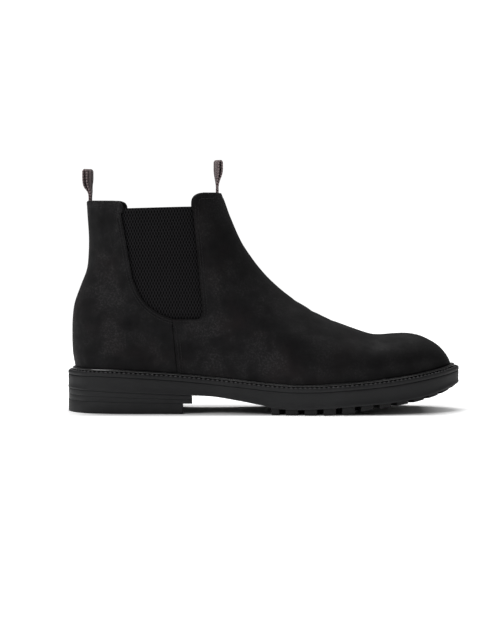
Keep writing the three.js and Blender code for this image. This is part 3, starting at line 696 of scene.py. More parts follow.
def level_line(height):
    return lambda x: np.full_like(x, height)


def side_prism(outline, y_low=-FAR, y_high=FAR):
    """A side-view outline pushed right across the boot, for cutting."""
    piece = plate("cutter", np.asarray(outline, float), level_line(y_low), level_line(y_high))
    lay(piece, coordinates(piece)[:, [0, 2, 1]] / MM)
    edit(piece, face_outwards)
    return piece


def cut(piece, outline, operation="DIFFERENCE", **reach):
    """Cuts a piece with a prism through the boot, and removes the prism."""
    cutter = side_prism(outline, **reach)
    modify(piece, "BOOLEAN", operation=operation, object=cutter, solver="MANIFOLD")
    bpy.data.objects.remove(cutter)
    return piece


def copy_of(piece, name):
    copy = piece.copy()
    copy.data = piece.data.copy()
    copy.name = name
    copy.data.name = name
    bpy.context.collection.objects.link(copy)
    return copy


def sweep(name, line, normals, section):
    """A section, given as [side, up] points anticlockwise, carried along a line on a surface."""
    tangent = heading(line)
    side = unit(np.cross(normals, tangent))
    up = np.cross(tangent, side)
    section = ringed(section)[:, None]
    return solid(table_sheet(name, line + side * section[..., 0:1] + up * section[..., 1:2]))


def rounded_bar(width, height, corner, steps=3):
    """Points round a rounded bar, anticlockwise, centred on the line."""
    points = []
    for sx, sy, start in ((1, 1, 0), (-1, 1, 90), (-1, -1, 180), (1, -1, 270)):
        for k in range(steps + 1):
            angle = math.radians(start + 90 * k / steps)
            x = sx * (width / 2 - corner) + corner * math.cos(angle)
            points.append((x, sy * (height / 2 - corner) + corner * math.sin(angle)))
    return np.array(points)


def oval(width, height, count=14):
    angle = np.linspace(0, 2 * np.pi, count, endpoint=False)
    return np.stack([np.cos(angle) * width / 2, np.sin(angle) * height / 2], axis=1)


def join(name, pieces):
    only(pieces[0])
    for piece in pieces[1:]:
        piece.select_set(True)
    bpy.ops.object.join()
    pieces[0].name = name
    pieces[0].data.name = name
    return pieces[0]


# ================= Stitches =================


def small_ball(rings):
    """The points and faces of a small ball, whose own object is removed again."""
    ball = primitive("ball", bpy.ops.mesh.primitive_uv_sphere_add, segments=8, ring_count=rings, radius=1)
    points, faces = coordinates(ball), [list(face.vertices) for face in ball.data.polygons]
    bpy.data.objects.remove(ball)
    return points, faces


def stitch_row(name, line, normals, pitch, length, thickness, proud, tilt=0.0, stagger=0.0):
    """A row of stitches along a line on a surface, with a flat near-black disc between each two as
    painted shade of a needle hole: one stitch and one disc are modelled, then copied along the row."""
    reach = lengths(line)
    count = max(2, int(reach[-1] / pitch))
    at = (np.arange(count) + 0.25 + stagger) * reach[-1] / count
    points = read_along(at, reach, line)
    ups = read_along(at, reach, normals)
    run = unit(read_along(at + 0.3, reach, line) - read_along(at - 0.3, reach, line))
    side = unit(np.cross(ups, run))
    up = np.cross(run, side)
    run, side = run * math.cos(tilt) + side * math.sin(tilt), side * math.cos(tilt) - run * math.sin(tilt)
    ball, faces = small_ball(6)
    shape = ball[:, [2, 0, 1]] * [length / 2, thickness / 2, thickness / 2]
    shape[:, 2] -= 0.28 * thickness * np.abs(shape[:, 0] / (length / 2)) ** 3
    # Each needle hole is a flat near-black disc at the surface: painted shade, not a hole.
    ball, hole_shade_faces = small_ball(4)
    hole_shade_disc = ball * [(pitch - length) / 2 + 0.22, thickness * 0.42, 0.16] + [pitch / 2, 0, 0]
    forms = ((shape, faces, thickness * (proud - 0.5), False), (hole_shade_disc, hole_shade_faces, 0.0, True))
    places, all_faces, dark, start = [], [], [], 0
    for i in range(count):
        for form, patch, height, is_hole_shade in forms:
            lifted = points[i] + up[i] * height
            places.append(lifted + form[:, 0:1] * run[i] + form[:, 1:2] * side[i] + form[:, 2:3] * up[i])
            all_faces += [[v + start for v in face] for face in patch]
            dark += [is_hole_shade] * len(patch)
            start += len(form)
    mesh = bpy.data.meshes.new(name)
    mesh.from_pydata((np.vstack(places) * MM).tolist(), [], all_faces)
    mesh.polygons.foreach_set("material_index", np.array(dark, dtype=np.int32))
    piece = bpy.data.objects.new(name, mesh)
    bpy.context.collection.objects.link(piece)
    edit(piece, face_outwards)
    smooth(piece, 80)
    return piece


def side_line(side, outline, inset, depth=0.0):
    """A side-view line moved to its left by `inset` and laid on one side of the boot."""
    count = max(3, int(lengths(outline)[-1] / LINE_STEP))
    line = beside(spaced(outline, count), inset)
    return on_side(side, line[:, 0], line[:, 1], depth)


# ================= Materials =================


def node_group(name, inputs, outputs):
    """An empty shader node group that takes a place and some numbers and gives numbers; with its input
    and its output node."""
    group = bpy.data.node_groups.new(name, "ShaderNodeTree")
    group.interface.new_socket("Vector", in_out="INPUT", socket_type="NodeSocketVector")
    for socket, value in inputs.items():
        made = group.interface.new_socket(socket, in_out="INPUT", socket_type="NodeSocketFloat")
        made.default_value = value
    for socket in outputs:
        group.interface.new_socket(socket, in_out="OUTPUT", socket_type="NodeSocketFloat")
    return group, group.nodes.new("NodeGroupInput"), group.nodes.new("NodeGroupOutput")


def wire(tree, start, end):
    tree.links.new(start, end)


def add(tree, kind, **values):
    node = tree.nodes.new(kind)
    for key, value in values.items():
        if hasattr(node, key):
            setattr(node, key, value)
        else:
            node.inputs[key.replace("_", " ").title()].default_value = value
    return node


def feed(tree, value, socket):
    """Sets a socket to a number, or wires an output to it."""
    if isinstance(value, (int, float)):
        socket.default_value = value
    else:
        wire(tree, value, socket)


def maths(tree, operation, *values):
    node = add(tree, "ShaderNodeMath", operation=operation)
    for socket, value in zip(node.inputs, values):
        feed(tree, value, socket)
    return node.outputs[0]


def times(tree, a, b):
    return maths(tree, "MULTIPLY", a, b)


def plus(tree, a, b):
    return maths(tree, "ADD", a, b)


def noise(tree, vector, scale, detail=3.0, roughness=0.5):
    node = add(tree, "ShaderNodeTexNoise")
    wire(tree, vector, node.inputs["Vector"])
    for socket, value in (("Scale", scale), ("Detail", detail), ("Roughness", roughness)):
        feed(tree, value, node.inputs[socket])
    return node.outputs["Fac"]


def ramp(tree, value, low, high):
    node = add(tree, "ShaderNodeMapRange", clamp=True)
    wire(tree, value, node.inputs["Value"])
    node.inputs["From Min"].default_value = low
    node.inputs["From Max"].default_value = high
    return node.outputs["Result"]


def colour_mix(tree, factor, a, b):
    node = add(tree, "ShaderNodeMix", data_type="RGBA")
    wire(tree, factor, node.inputs["Factor"])
    for socket, value in (("A", a), ("B", b)):
        target = [s for s in node.inputs if s.name == socket and s.type == "RGBA"][0]
        if isinstance(value, tuple):
            target.default_value = (*value, 1)
        else:
            wire(tree, value, target)
    return [s for s in node.outputs if s.type == "RGBA"][0]


def paint(tree, principled, factor, a, b):
    wire(tree, colour_mix(tree, factor, a, b), principled.inputs["Base Color"])


def roughen(tree, principled, start, mask, by):
    wire(tree, plus(tree, start, times(tree, mask, by)), principled.inputs["Roughness"])


def build_nap():
    """Napped leather: broad cloudy patches, small scuffs and a fine pile."""
    inputs = {"Cloud Scale": 38.0, "Pile Scale": 1500.0}
    group, start, end = node_group("nap", inputs, ("Cloud", "Tint", "Scuff", "Height"))
    vector = start.outputs["Vector"]
    cloud = noise(group, vector, start.outputs["Cloud Scale"], 5.0, 0.62)
    wire(group, ramp(group, cloud, 0.32, 0.7), end.inputs["Cloud"])
    tint = noise(group, vector, times(group, start.outputs["Cloud Scale"], 0.7), 3.0, 0.55)
    wire(group, times(group, ramp(group, tint, 0.5, 0.68), 0.7), end.inputs["Tint"])
    fleck = noise(group, vector, 640.0, 5.0, 0.8)
    broad = ramp(group, noise(group, vector, start.outputs["Cloud Scale"], 3.0, 0.6), 0.46, 0.6)
    scuff = times(group, ramp(group, fleck, 0.49, 0.6), broad)
    wire(group, scuff, end.inputs["Scuff"])
    pile = noise(group, vector, start.outputs["Pile Scale"], 2.0, 0.7)
    grain = noise(group, vector, 420.0, 3.0, 0.6)
    wire(group, plus(group, times(group, pile, 0.6), grain), end.inputs["Height"])
    return group


def build_weave():
    """Ribs in two directions over a surface's own pattern map, in millimetres."""
    group, start, end = node_group("weave", {"Along": 0.8, "Across": 0.8}, ("Height", "Pit"))
    split = add(group, "ShaderNodeSeparateXYZ")
    wire(group, start.outputs["Vector"], split.inputs[0])
    waves = []
    for axis, pitch in (("X", "Along"), ("Y", "Across")):
        turns = maths(group, "DIVIDE", split.outputs[axis], start.outputs[pitch])
        waves.append(maths(group, "ABSOLUTE", maths(group, "SINE", times(group, turns, math.pi))))
    height = times(group, waves[0], waves[1])
    wire(group, height, end.inputs["Height"])
    wire(group, maths(group, "SUBTRACT", 1.0, height), end.inputs["Pit"])
    return group


def build_wear():
    """Rubbed edges and high spots, broken up by noise."""
    group, start, end = node_group("edge_wear", {"Pointiness": 0.5, "Amount": 0.5}, ("Wear",))
    edge = ramp(group, start.outputs["Pointiness"], 0.52, 0.62)
    patch = noise(group, start.outputs["Vector"], 160.0, 4.0, 0.65)
    broken = times(group, edge, ramp(group, patch, 0.35, 0.65))
    wire(group, times(group, broken, start.outputs["Amount"]), end.inputs["Wear"])
    return group


def build_speckle():
    """Moulded rubber: a faint mould texture, dust in patches and fine speckle."""
    group, start, end = node_group("speckle", {"Scale": 900.0}, ("Dust", "Height"))
    fine = noise(group, start.outputs["Vector"], start.outputs["Scale"], 3.0, 0.6)
    broad = noise(group, start.outputs["Vector"], 45.0, 4.0, 0.6)
    wire(group, ramp(group, broad, 0.42, 0.72), end.inputs["Dust"])
    wire(group, fine, end.inputs["Height"])
    return group


NAP, WEAVE, WEAR, SPECKLE = build_nap(), build_weave(), build_wear(), build_speckle()


def new_material(name, roughness, **shader):
    material = bpy.data.materials.new(name)
    material.use_nodes = True
    tree = material.node_tree
    principled = tree.nodes["Principled BSDF"]
    principled.inputs["Roughness"].default_value = roughness
    for socket, value in shader.items():
        principled.inputs[socket.replace("_", " ")].default_value = value
    return material, tree, principled


def object_place(tree):
    return add(tree, "ShaderNodeTexCoord").outputs["Object"]


def use_group(tree, group, vector, **values):
    node = add(tree, "ShaderNodeGroup", node_tree=group)
    wire(tree, vector, node.inputs["Vector"])
    for socket, value in values.items():
        node.inputs[socket.replace("_", " ")].default_value = value
    return node


def worn(tree, vector, amount):
    node = use_group(tree, WEAR, vector, Amount=amount)
    wire(tree, add(tree, "ShaderNodeNewGeometry").outputs["Pointiness"], node.inputs["Pointiness"])
    return node.outputs["Wear"]


def bump(tree, principled, height, distance, strength):
    node = add(tree, "ShaderNodeBump")
    node.inputs["Distance"].default_value = distance * MM
    node.inputs["Strength"].default_value = strength
    wire(tree, height, node.inputs["Height"])
    wire(tree, node.outputs["Normal"], principled.inputs["Normal"])


def nubuck_leather(name, dark, light, warm):
    """Waxed napped leather: cloudy, in places reddish, scuffed pale where it is rubbed, with painted shade
    that darkens it towards the toe and up the front of the shin.
    """
    surface = {"Specular_IOR_Level": 0.13, "Sheen_Weight": 0.01, "Sheen_Roughness": 0.4}
    material, tree, principled = new_material(name, 0.8, **surface)
    principled.inputs["Sheen Tint"].default_value = (0.85, 0.83, 0.85, 1)
    vector = object_place(tree)
    nap = use_group(tree, NAP, vector)
    base = colour_mix(tree, nap.outputs["Cloud"], dark, light)
    tinted = colour_mix(tree, nap.outputs["Tint"], base, warm)
    split = add(tree, "ShaderNodeSeparateXYZ")
    wire(tree, vector, split.inputs[0])
    # Painted shade: the leather turns near black towards the toe and up the front of the shin.
    toe = ramp(tree, split.outputs["X"], 0.045, 0.11)
    shin = plus(tree, split.outputs["X"], times(tree, split.outputs["Z"], 0.75))
    toe_and_shin_painted_shade = maths(tree, "MAXIMUM", toe, times(tree, ramp(tree, shin, 0.045, 0.07), 0.75))
    scuff = times(tree, nap.outputs["Scuff"], 0.8)
    scuffed = colour_mix(tree, scuff, tinted, (0.0225, 0.0212, 0.0217))
    edges = times(tree, worn(tree, vector, 0.4), maths(tree, "SUBTRACT", 1, toe))
    rubbed = colour_mix(tree, edges, scuffed, (0.02, 0.0185, 0.0187))
    paint(tree, principled, times(tree, toe_and_shin_painted_shade, 0.72), rubbed, (0.0016, 0.0015, 0.0017))
    rough = maths(tree, "SUBTRACT", 0.88, times(tree, nap.outputs["Cloud"], 0.22))
    wire(tree, rough, principled.inputs["Roughness"])
    bump(tree, principled, nap.outputs["Height"], 0.09, 0.6)
    return material


def elastic_webbing():
    """Knitted elastic: pits painted near black as shade between paler crossing ribs, with a fine yarn over
    all of it.
    """
    material, tree, principled = new_material("elastic_webbing", 0.72, Specular_IOR_Level=0.07)
    lozenge = use_group(tree, WEAVE, add(tree, "ShaderNodeUVMap").outputs["UV"], Along=1.0, Across=1.0)
    yarn = noise(tree, object_place(tree), 2200.0, 2.0, 0.6)
    rib = colour_mix(tree, yarn, (0.0078, 0.0074, 0.0081), (0.0155, 0.0149, 0.016))
    # Painted shade: the pits turn near black.
    pit = ramp(tree, lozenge.outputs["Height"], 0.12, 0.6)
    paint(tree, principled, pit, rib, (0.0008, 0.0007, 0.0009))
    roughen(tree, principled, 0.66, pit, 0.2)
    bump(tree, principled, yarn, 0.08, 0.6)
    return material


def grosgrain():
    """Ribbon: mauve grey, with dark lengthwise stripes, dashed edges and fine crosswise ribs, with painted
    shade between the ribs.
    """
    surface = {"Specular_IOR_Level": 0.25, "Sheen_Weight": 0.08}
    material, tree, principled = new_material("grosgrain_ribbon", 0.75, **surface)
    uv = add(tree, "ShaderNodeUVMap").outputs["UV"]
    weave = use_group(tree, WEAVE, uv, Along=0.75, Across=24.0)
    split = add(tree, "ShaderNodeSeparateXYZ")
    wire(tree, uv, split.inputs[0])
    from_middle = maths(tree, "ABSOLUTE", split.outputs["Y"])
    from_stripe = maths(tree, "ABSOLUTE", maths(tree, "SUBTRACT", from_middle, 2.9))
    stripe = maths(tree, "LESS_THAN", from_stripe, 1.1)
    dash = maths(tree, "GREATER_THAN", maths(tree, "SINE", times(tree, split.outputs["X"], 2.9)), 0.1)
    edge = times(tree, maths(tree, "GREATER_THAN", from_middle, 5.1), dash)
    mottle = noise(tree, object_place(tree), 1100.0, 3.0, 0.6)
    pale = colour_mix(tree, mottle, (0.2, 0.15, 0.152), (0.38, 0.3, 0.3))
    base = colour_mix(tree, maths(tree, "MAXIMUM", stripe, edge), pale, (0.05, 0.032, 0.034))
    # Painted shade: darker between the crosswise ribs.
    paint(tree, principled, times(tree, weave.outputs["Pit"], 0.5), base, (0.05, 0.038, 0.038))
    bump(tree, principled, weave.outputs["Height"], 0.2, 0.8)
    return material


def moulded_rubber(name, dark, light, roughness):
    """Matt rubber: dusty in patches and paler along its edges."""
    material, tree, principled = new_material(name, roughness, Specular_IOR_Level=0.22)
    vector = object_place(tree)
    speckle = use_group(tree, SPECKLE, vector)
    base = colour_mix(tree, speckle.outputs["Dust"], dark, light)
    paint(tree, principled, worn(tree, vector, 0.55), base, tuple(c * 2.2 for c in light))
    roughen(tree, principled, roughness - 0.06, speckle.outputs["Dust"], 0.14)
    bump(tree, principled, speckle.outputs["Height"], 0.05, 0.6)
    return material


def glossy_bead():
    gloss = {"Specular_IOR_Level": 0.5, "Coat_Weight": 0.35, "Coat_Roughness": 0.12}
    material, tree, principled = new_material("glossy_bead", 0.2, **gloss)
    speckle = use_group(tree, SPECKLE, object_place(tree), Scale=500.0)
    paint(tree, principled, speckle.outputs["Dust"], (0.004, 0.004, 0.0042), (0.009, 0.0088, 0.009))
    roughen(tree, principled, 0.17, speckle.outputs["Dust"], 0.12)
    bump(tree, principled, speckle.outputs["Height"], 0.02, 0.4)
    return material


def thread(name, dark, light):
    material, tree, principled = new_material(name, 0.6, Specular_IOR_Level=0.2)
    fibre = noise(tree, object_place(tree), 2600.0, 2.0, 0.6)
    paint(tree, principled, fibre, dark, light)
    bump(tree, principled, fibre, 0.08, 0.6)
    return material


def grained(name, dark, light, roughness, scale, depth, metallic=0.0):
    """Linings, boards, foam, cork and steel: two tones in a grain, with its own roughness and relief."""
    material, tree, principled = new_material(name, roughness, Metallic=metallic)
    nap = use_group(tree, NAP, object_place(tree), Cloud_Scale=scale / 12, Pile_Scale=scale)
    paint(tree, principled, nap.outputs["Cloud"], dark, light)
    roughen(tree, principled, roughness - 0.05, nap.outputs["Scuff"], 0.1)
    bump(tree, principled, nap.outputs["Height"], depth, 0.6)
    return material


NUBUCK = nubuck_leather(
    "nubuck_leather", (0.0028, 0.0027, 0.003), (0.0078, 0.0075, 0.0081), (0.0088, 0.0066, 0.007)
)
# A darker copy of the leather, for painted shade along the raw edges round the gores.
NUBUCK_SHADED_EDGE = nubuck_leather(
    "nubuck_shaded_edge", (0.0022, 0.0021, 0.0023), (0.005, 0.0048, 0.005), (0.0055, 0.0045, 0.0047)
)
ELASTIC, GROSGRAIN, BEAD = elastic_webbing(), grosgrain(), glossy_bead()
SIDEWALL = moulded_rubber("sidewall_rubber", (0.0072, 0.0073, 0.0079), (0.0122, 0.0124, 0.0131), 0.6)
TREAD = moulded_rubber("tread_rubber", (0.006, 0.006, 0.0064), (0.0115, 0.0115, 0.012), 0.68)
# Flat near-black discs between the stitches: painted shade of the needle holes.
NEEDLE_HOLE_SHADE = thread("needle_hole_shade", (0.0012, 0.0012, 0.0012), (0.0026, 0.0025, 0.0026))
THREAD = thread("upper_thread", (0.003, 0.0029, 0.0032), (0.0088, 0.0084, 0.009))
WELT_THREAD = thread("welt_thread", (0.03, 0.03, 0.032), (0.11, 0.108, 0.11))
LINING_SKIN, SOCK_SKIN, STIFFENER, CLOTH_DARKENED_AS_SHADE, BOARD, FOAM, CORK, STEEL = (
    grained(*values)
    for values in (
        ("lining_leather", (0.014, 0.013, 0.013), (0.026, 0.024, 0.024), 0.6, 1300.0, 0.06),
        ("sock_leather", (0.02, 0.018, 0.0175), (0.034, 0.03, 0.029), 0.62, 1000.0, 0.08),
        ("stiffener_board", (0.42, 0.33, 0.22), (0.55, 0.44, 0.31), 0.8, 900.0, 0.08),
        # The interlining is near black: painted shade where it shows through the gaps at the side and back
        # seams.
        ("interlining_cloth_shade", (0.004, 0.004, 0.0042), (0.009, 0.0088, 0.009), 0.9, 1500.0, 0.1),
        ("insole_fibreboard", (0.3, 0.19, 0.1), (0.45, 0.3, 0.17), 0.8, 800.0, 0.08),
        ("heel_foam", (0.08, 0.07, 0.065), (0.13, 0.12, 0.11), 0.95, 700.0, 0.15),
        ("cork_filler", (0.2, 0.09, 0.04), (0.42, 0.24, 0.12), 0.9, 500.0, 0.2),
        ("shank_steel", (0.42, 0.43, 0.45), (0.6, 0.61, 0.63), 0.35, 900.0, 0.02, 1.0),
    )
)


def dress(piece, *materials):
    """Gives a piece these materials in place of the ones it has."""
    piece.data.materials.clear()
    for material in materials:
        piece.data.materials.append(material)


def finish(piece, material, slot, stands_for=(), second=None):
    """Dresses a piece of the boot's own body; `second` goes on the faces that are marked for it."""
    marks = [face.material_index for face in piece.data.polygons]
    dress(piece, *([material, second] if second else [material]))
    if second:
        piece.data.polygons.foreach_set("material_index", marks)
    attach(piece, "boot")
    if stands_for:
        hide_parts(*stands_for)
    return piece


# ================= Upper =================


def hill(x, centre, width):
    return np.exp(-(((x - centre) / width) ** 2))


def seam_x(z):
    return SEAM_HEAD[0] + (SEAM_FOOT[0] - SEAM_HEAD[0]) * (SEAM_HEAD[1] - z) / (SEAM_HEAD[1] - SEAM_FOOT[1])


LAP_RISE = 0.5
LAP_FADE = 9.0


def lap_rise(from_seam):
    """How far the vamp is raised where it laps over the quarter."""
    return LAP_RISE * (1 - ease(from_seam, 0, LAP_FADE))


def soft_relief(points, turn, v, lapped):
    """Gentle unevenness of lasted leather, flex creases on the instep and folds beside the gore. The
    vamp is raised where it laps over the quarter."""
    x, y, z = points.T
    wave = np.sin(x * 0.071 + y * 0.05 + 0.7) * np.sin(z * 0.083 - y * 0.04)
    wave += 0.6 * np.sin(x * 0.19 - z * 0.13 + y * 0.11) * np.sin(x * 0.043 + z * 0.06)
    crease = np.zeros_like(x)
    for centre, strength, width in ((0.5, 0.5, 0.011), (0.55, 0.75, 0.012), (0.6, 0.5, 0.011)):
        crease += strength * hill(v, centre + 0.012 * np.sin(turn * 9 + centre * 30), width)
    crease *= hill(turn, 1, 0.15)
    lean = x - (-30 + (112 - z) * 0.12)
    folds = (
        (0.9, lean, 0, 3.6, 104, 22),
        (0.5, lean, 14, 4.5, 118, 16),
        (0.45, x + z * 0.35, -82, 4.0, 112, 20),
        (-0.35, lean, 7, 4.0, 108, 20),
    )
    fold = sum(deep * hill(line, at, wide) * hill(z, up, tall) for deep, line, at, wide, up, tall in folds)
    lift = ease(v, 0.02, 0.12) * (0.2 * wave - 0.7 * crease - fold)
    if lapped:
        lift = lift + lap_rise(x - seam_x(z)) * (1 - ease(z, SEAM_HEAD[1] - 3, SEAM_HEAD[1] + 4))
    return lift


def shell(name, depth, thickness, columns, rows, relief=None):
    """The last's skin between two depths, open at the top and at the bottom."""

    def place(u, v):
        turn = u * 2
        points, normals = skin(turn, v), skin_normal(turn, v)
        lift = soft_relief(points, turn, v, relief == "lapped") if relief else 0
        return points + normals * np.reshape(lift - depth, (-1, 1))

    piece = sheet(name, columns, rows, place)
    edit(piece, merge)
    modify(piece, "SOLIDIFY", thickness=thickness * MM, offset=-1, use_even_offset=False)
    return piece


def over_topline(room):
    """Everything above a line that lies `room` inside the top line, as a side-view outline."""
    rear = beside(rear_topline(), -room)
    front = beside(front_topline(), room)[::-1]
    left, right = [(-FAR, FAR), (-FAR, rear[0, 1])], [(FAR, front[-1, 1]), (FAR, FAR)]
    return np.vstack([left, rear, front, right])


def gore_window():
    """The gore's outline, open upwards."""
    edge = gore_edge()
    return np.vstack([[(edge[0, 0], FAR)], edge, [(edge[-1, 0], FAR)]])


def behind_seam(shift=0.0):
    """Everything behind the side seam, whose line runs on downwards."""
    head, foot = np.array(SEAM_HEAD), np.array(SEAM_FOOT)
    foot = head + (foot - head) * 3
    x, z = head[0] + shift, head[1]
    return [(-FAR, foot[1]), (foot[0] + shift, foot[1]), (x, z), (x, FAR), (-FAR, FAR)]


def panel(name, relief):
    """The upper's leather with the top line and the gores cut out."""
    leather = shell(name, 0, SHOWN_LEATHER, LAST_COLUMNS, LAST_ROWS, relief)
    cut(leather, over_topline(COLLAR_ROOM))
    return cut(leather, gore_window())


def upper_leather():
    """The vamp in front of the side seams, and a quarter on each side behind them."""
    vamp = cut(panel("vamp_leather", "lapped"), behind_seam())
    lateral = cut(panel("quarter_lateral_leather", "plain"), behind_seam(-0.7), "INTERSECT")
    medial = copy_of(lateral, "quarter_medial_leather")
    whole = [(-FAR, -FAR), (FAR, -FAR), (FAR, FAR), (-FAR, FAR)]
    cut(lateral, whole, y_low=BACK_SEAM_HALF)
    cut(medial, whole, y_high=-BACK_SEAM_HALF)
    for piece, node in ((vamp, "vamp"), (lateral, "quarter_lateral"), (medial, "quarter_medial")):
        smooth(piece, 40)
        finish(piece, NUBUCK, "upper_leather", stands_for=[node])


def gore_edges():
    """Rounded raw edges of the leather round the gores, in a darker copy of the leather: painted shade along
    them.
    """
    for side, word in ((-1, "lateral"), (1, "medial")):
        line, normals = side_line(side, gore_edge(), 0.7, 0.78)
        edge = sweep(f"gore_edge_{word}", line, normals, oval(1.6, 1.7, 10))
        smooth(edge, 60)
        finish(edge, NUBUCK_SHADED_EDGE, "upper_leather")


def collar_section():
    """Points round the folded collar as [depth, distance below the edge], from outside over the top."""
    outside, inside, top, corner, skirt = -0.14, 4.95, -0.15, 1.6, 3.9
    turn = np.radians(np.linspace(0, 90, 7))
    first = np.stack([outside + corner * (1 - np.cos(turn)), top + corner * (1 - np.sin(turn))], axis=1)
    last = np.stack([inside - corner * (1 - np.sin(turn)), top + corner * (1 - np.cos(turn))], axis=1)
    foot = [(inside, skirt - 0.4), (inside - 0.5, skirt)]
    foot += [(outside + 0.7, skirt), (outside + 0.12, skirt - 0.15)]
    return np.vstack([[(outside, skirt - 0.5)], [(outside, (skirt + top + corner) / 2)], first, last, foot])


def collars():
    """Leather folded over the top line, at the back and at the front, down to the gores."""
    section = ringed(collar_section())[:, None]
    ends = (("rear_collar", rear_topline(COLLAR_REACH), -1), ("front_collar", front_topline(COLLAR_REACH), 1))
    for name, half, way in ends:
        points = spaced(half, int(lengths(half)[-1] / LINE_STEP))
        outer, outer_normals = on_side(-1, points[:, 0], points[:, 1])
        inner, inner_normals = on_side(1, points[:, 0], points[:, 1])
        line = np.vstack([outer[::-1], inner[1:]])
        normals = unit(smooth_line(np.vstack([outer_normals[::-1], inner_normals[1:]]), 4))
        down = unit(np.cross(heading(line), normals) * way)
        piece = solid(table_sheet(name, line + down * section[..., 1:2] - normals * section[..., 0:1]))
        smooth(piece, 50)
        finish(piece, NUBUCK, "upper_leather")


def smooth_line(values, rounds):
    values = np.array(values, float)
    for _ in range(rounds):
        values[1:-1] = (values[:-2] + 2 * values[1:-1] + values[2:]) / 4
    return values


PIT_WIDE = 2.25
PIT_TALL = 4.75
PIT_DEPTH = 0.55


def gore(side, word):
    """Elastic webbing: staggered lozenge pits between crossing ribs."""
    front_top = np.array([gore_front + GORE_LAP, GORE_TOP + GORE_RISE])
    front_low = np.array([gore_front + GORE_LEAN + GORE_LAP, gore_floor - GORE_LAP])
    back_top = np.array([gore_back - GORE_LAP, GORE_TOP])
    back_low = np.array([gore_back + 0.12 * GORE_WIDTH, gore_floor - GORE_LAP])
    height = GORE_DEPTH + GORE_LAP

    def flat_place(u, v):
        along = 1 - u if side > 0 else u
        low = back_low + (front_low - back_low) * along[:, None]
        high = back_top + (front_top - back_top) * along[:, None]
        return low + (high - low) * v[:, None]

    def lattice(u, v):
        flat = flat_place(u, v)
        x, z = (flat[:, 0] - back_top[0]) / PIT_WIDE, v * height / PIT_TALL
        return np.stack([x + z, x - z], axis=1)

    def place(u, v):
        flat = flat_place(u, v)
        points, normals = on_side(side, flat[:, 0], flat[:, 1], MIDDLE_DEPTH - 0.1)
        a, b = lattice(u, v).T
        pit = (np.abs(np.cos(np.pi * a)) * np.abs(np.cos(np.pi * b))) ** 0.8
        hem = ease(v, 0.972, 0.985)
        return points - normals * (mix(pit, 0.15, hem) * PIT_DEPTH + 0.5 * ease(v, 0.99, 1.0))[:, None]

    piece = sheet(f"gore_{word}_webbing", 216, 168, place, lambda u, v: lattice(u, v) + 0.5)
    modify(piece, "SOLIDIFY", thickness=1.0 * MM, offset=-1)
    smooth(piece, 60)
    finish(piece, ELASTIC, "elastic", stands_for=[f"gore_{word}"])


def upper_stitches():
    """Twin rows round the gores and down the seams, and one row under each collar."""
    seam = np.array([(seam_x(z), z) for z in (SEAM_HEAD[1] - 6.5, SEAM_FOOT[1] + 2)])
    for side, word in ((-1, "lateral"), (1, "medial")):
        rows = []
        for k, inset in enumerate((1.5, 3.5)):
            line, normals = side_line(side, gore_edge(), inset)
            rows.append(stitch_row("row", line, normals, *GORE_STITCH, stagger=k / 2))
        for k, inset in enumerate((2.2, 4.3)):
            line, normals = side_line(side, seam, inset)
            line = line + normals * lap_rise(inset)
            rows.append(stitch_row("row", line, normals, *SEAM_STITCH, stagger=k / 2))
        for outline, inset in ((front_topline(), 4.6), (rear_topline(), -4.6)):
            line, normals = side_line(side, outline, inset)
            rows.append(stitch_row("row", line[3:], normals[3:], *COLLAR_STITCH))
        finish(join(f"upper_stitches_{word}", rows), THREAD, "upper_leather", second=NEEDLE_HOLE_SHADE)


def linings():
    lining = shell("vamp_lining_leather", LINING_DEPTH, LINING, 240, 70)
    cut(lining, over_topline(LINING_ROOM))
    cut(lining, gore_window())
    rear = copy_of(lining, "quarter_lining_leather")
    cut(lining, behind_seam())
    cut(rear, behind_seam(-0.2), "INTERSECT")
    for piece, node in ((lining, "vamp_lining"), (rear, "quarter_lining")):
        smooth(piece, 40)
        finish(piece, LINING_SKIN, "lining", stands_for=[node])


# ================= Under the foot =================


def raised(line, by):
    return lambda x: line(x) + by


def rings_on(line, rings):
    """Plan rings given as (inset, height above a line), with that line raised in place of the height."""
    return [(inset, raised(line, by)) for inset, by in rings]


def ring_table(rings):
    """A table of places, one closed loop for each (inset, height line)."""
    loops = [(ringed(plan_loop(inset)), height) for inset, height in rings]
    return np.array([np.column_stack([loop, height(loop[:, 0])]) for loop, height in loops])


def stack(name, rings):
    """A closed solid from plan rings; the first and the last close onto the sole's middle line."""
    table = ring_table(rings)
    for k in (0, -1):
        inset, height = rings[k]
        outer, inner = plan_sides(inset)
        middle = (outer + inner) / 2
        loop = np.vstack([middle, middle[1:-1][::-1], middle[:1]])
        table[k] = np.column_stack([loop, height(loop[:, 0])])
    piece = table_sheet(name, table)
    edit(piece, merge, lambda: bpy.ops.mesh.dissolve_degenerate(threshold=0.000001), face_outwards)
    return piece


def band(name, rings, degrees, material, slot, node):
    """A closed strip all round the boot, from plan rings that meet again."""
    piece = table_sheet(name, ring_table(rings + rings[:1]))
    edit(piece, merge, face_outwards)
    smooth(piece, degrees)
    finish(piece, material, slot, stands_for=[node])


def level_stitches(name, inset, height, count, shape, material, slot, **turn):
    """A row of stitches all round the boot, facing up, on a height line."""
    loop = plan_loop(inset)
    line = spaced(ringed(np.column_stack([loop, height(loop[:, 0])])), count)
    row = stitch_row(name, line, np.tile([0.0, 0.0, 1.0], (count, 1)), *shape, **turn)
    finish(row, material, slot, second=NEEDLE_HOLE_SHADE)


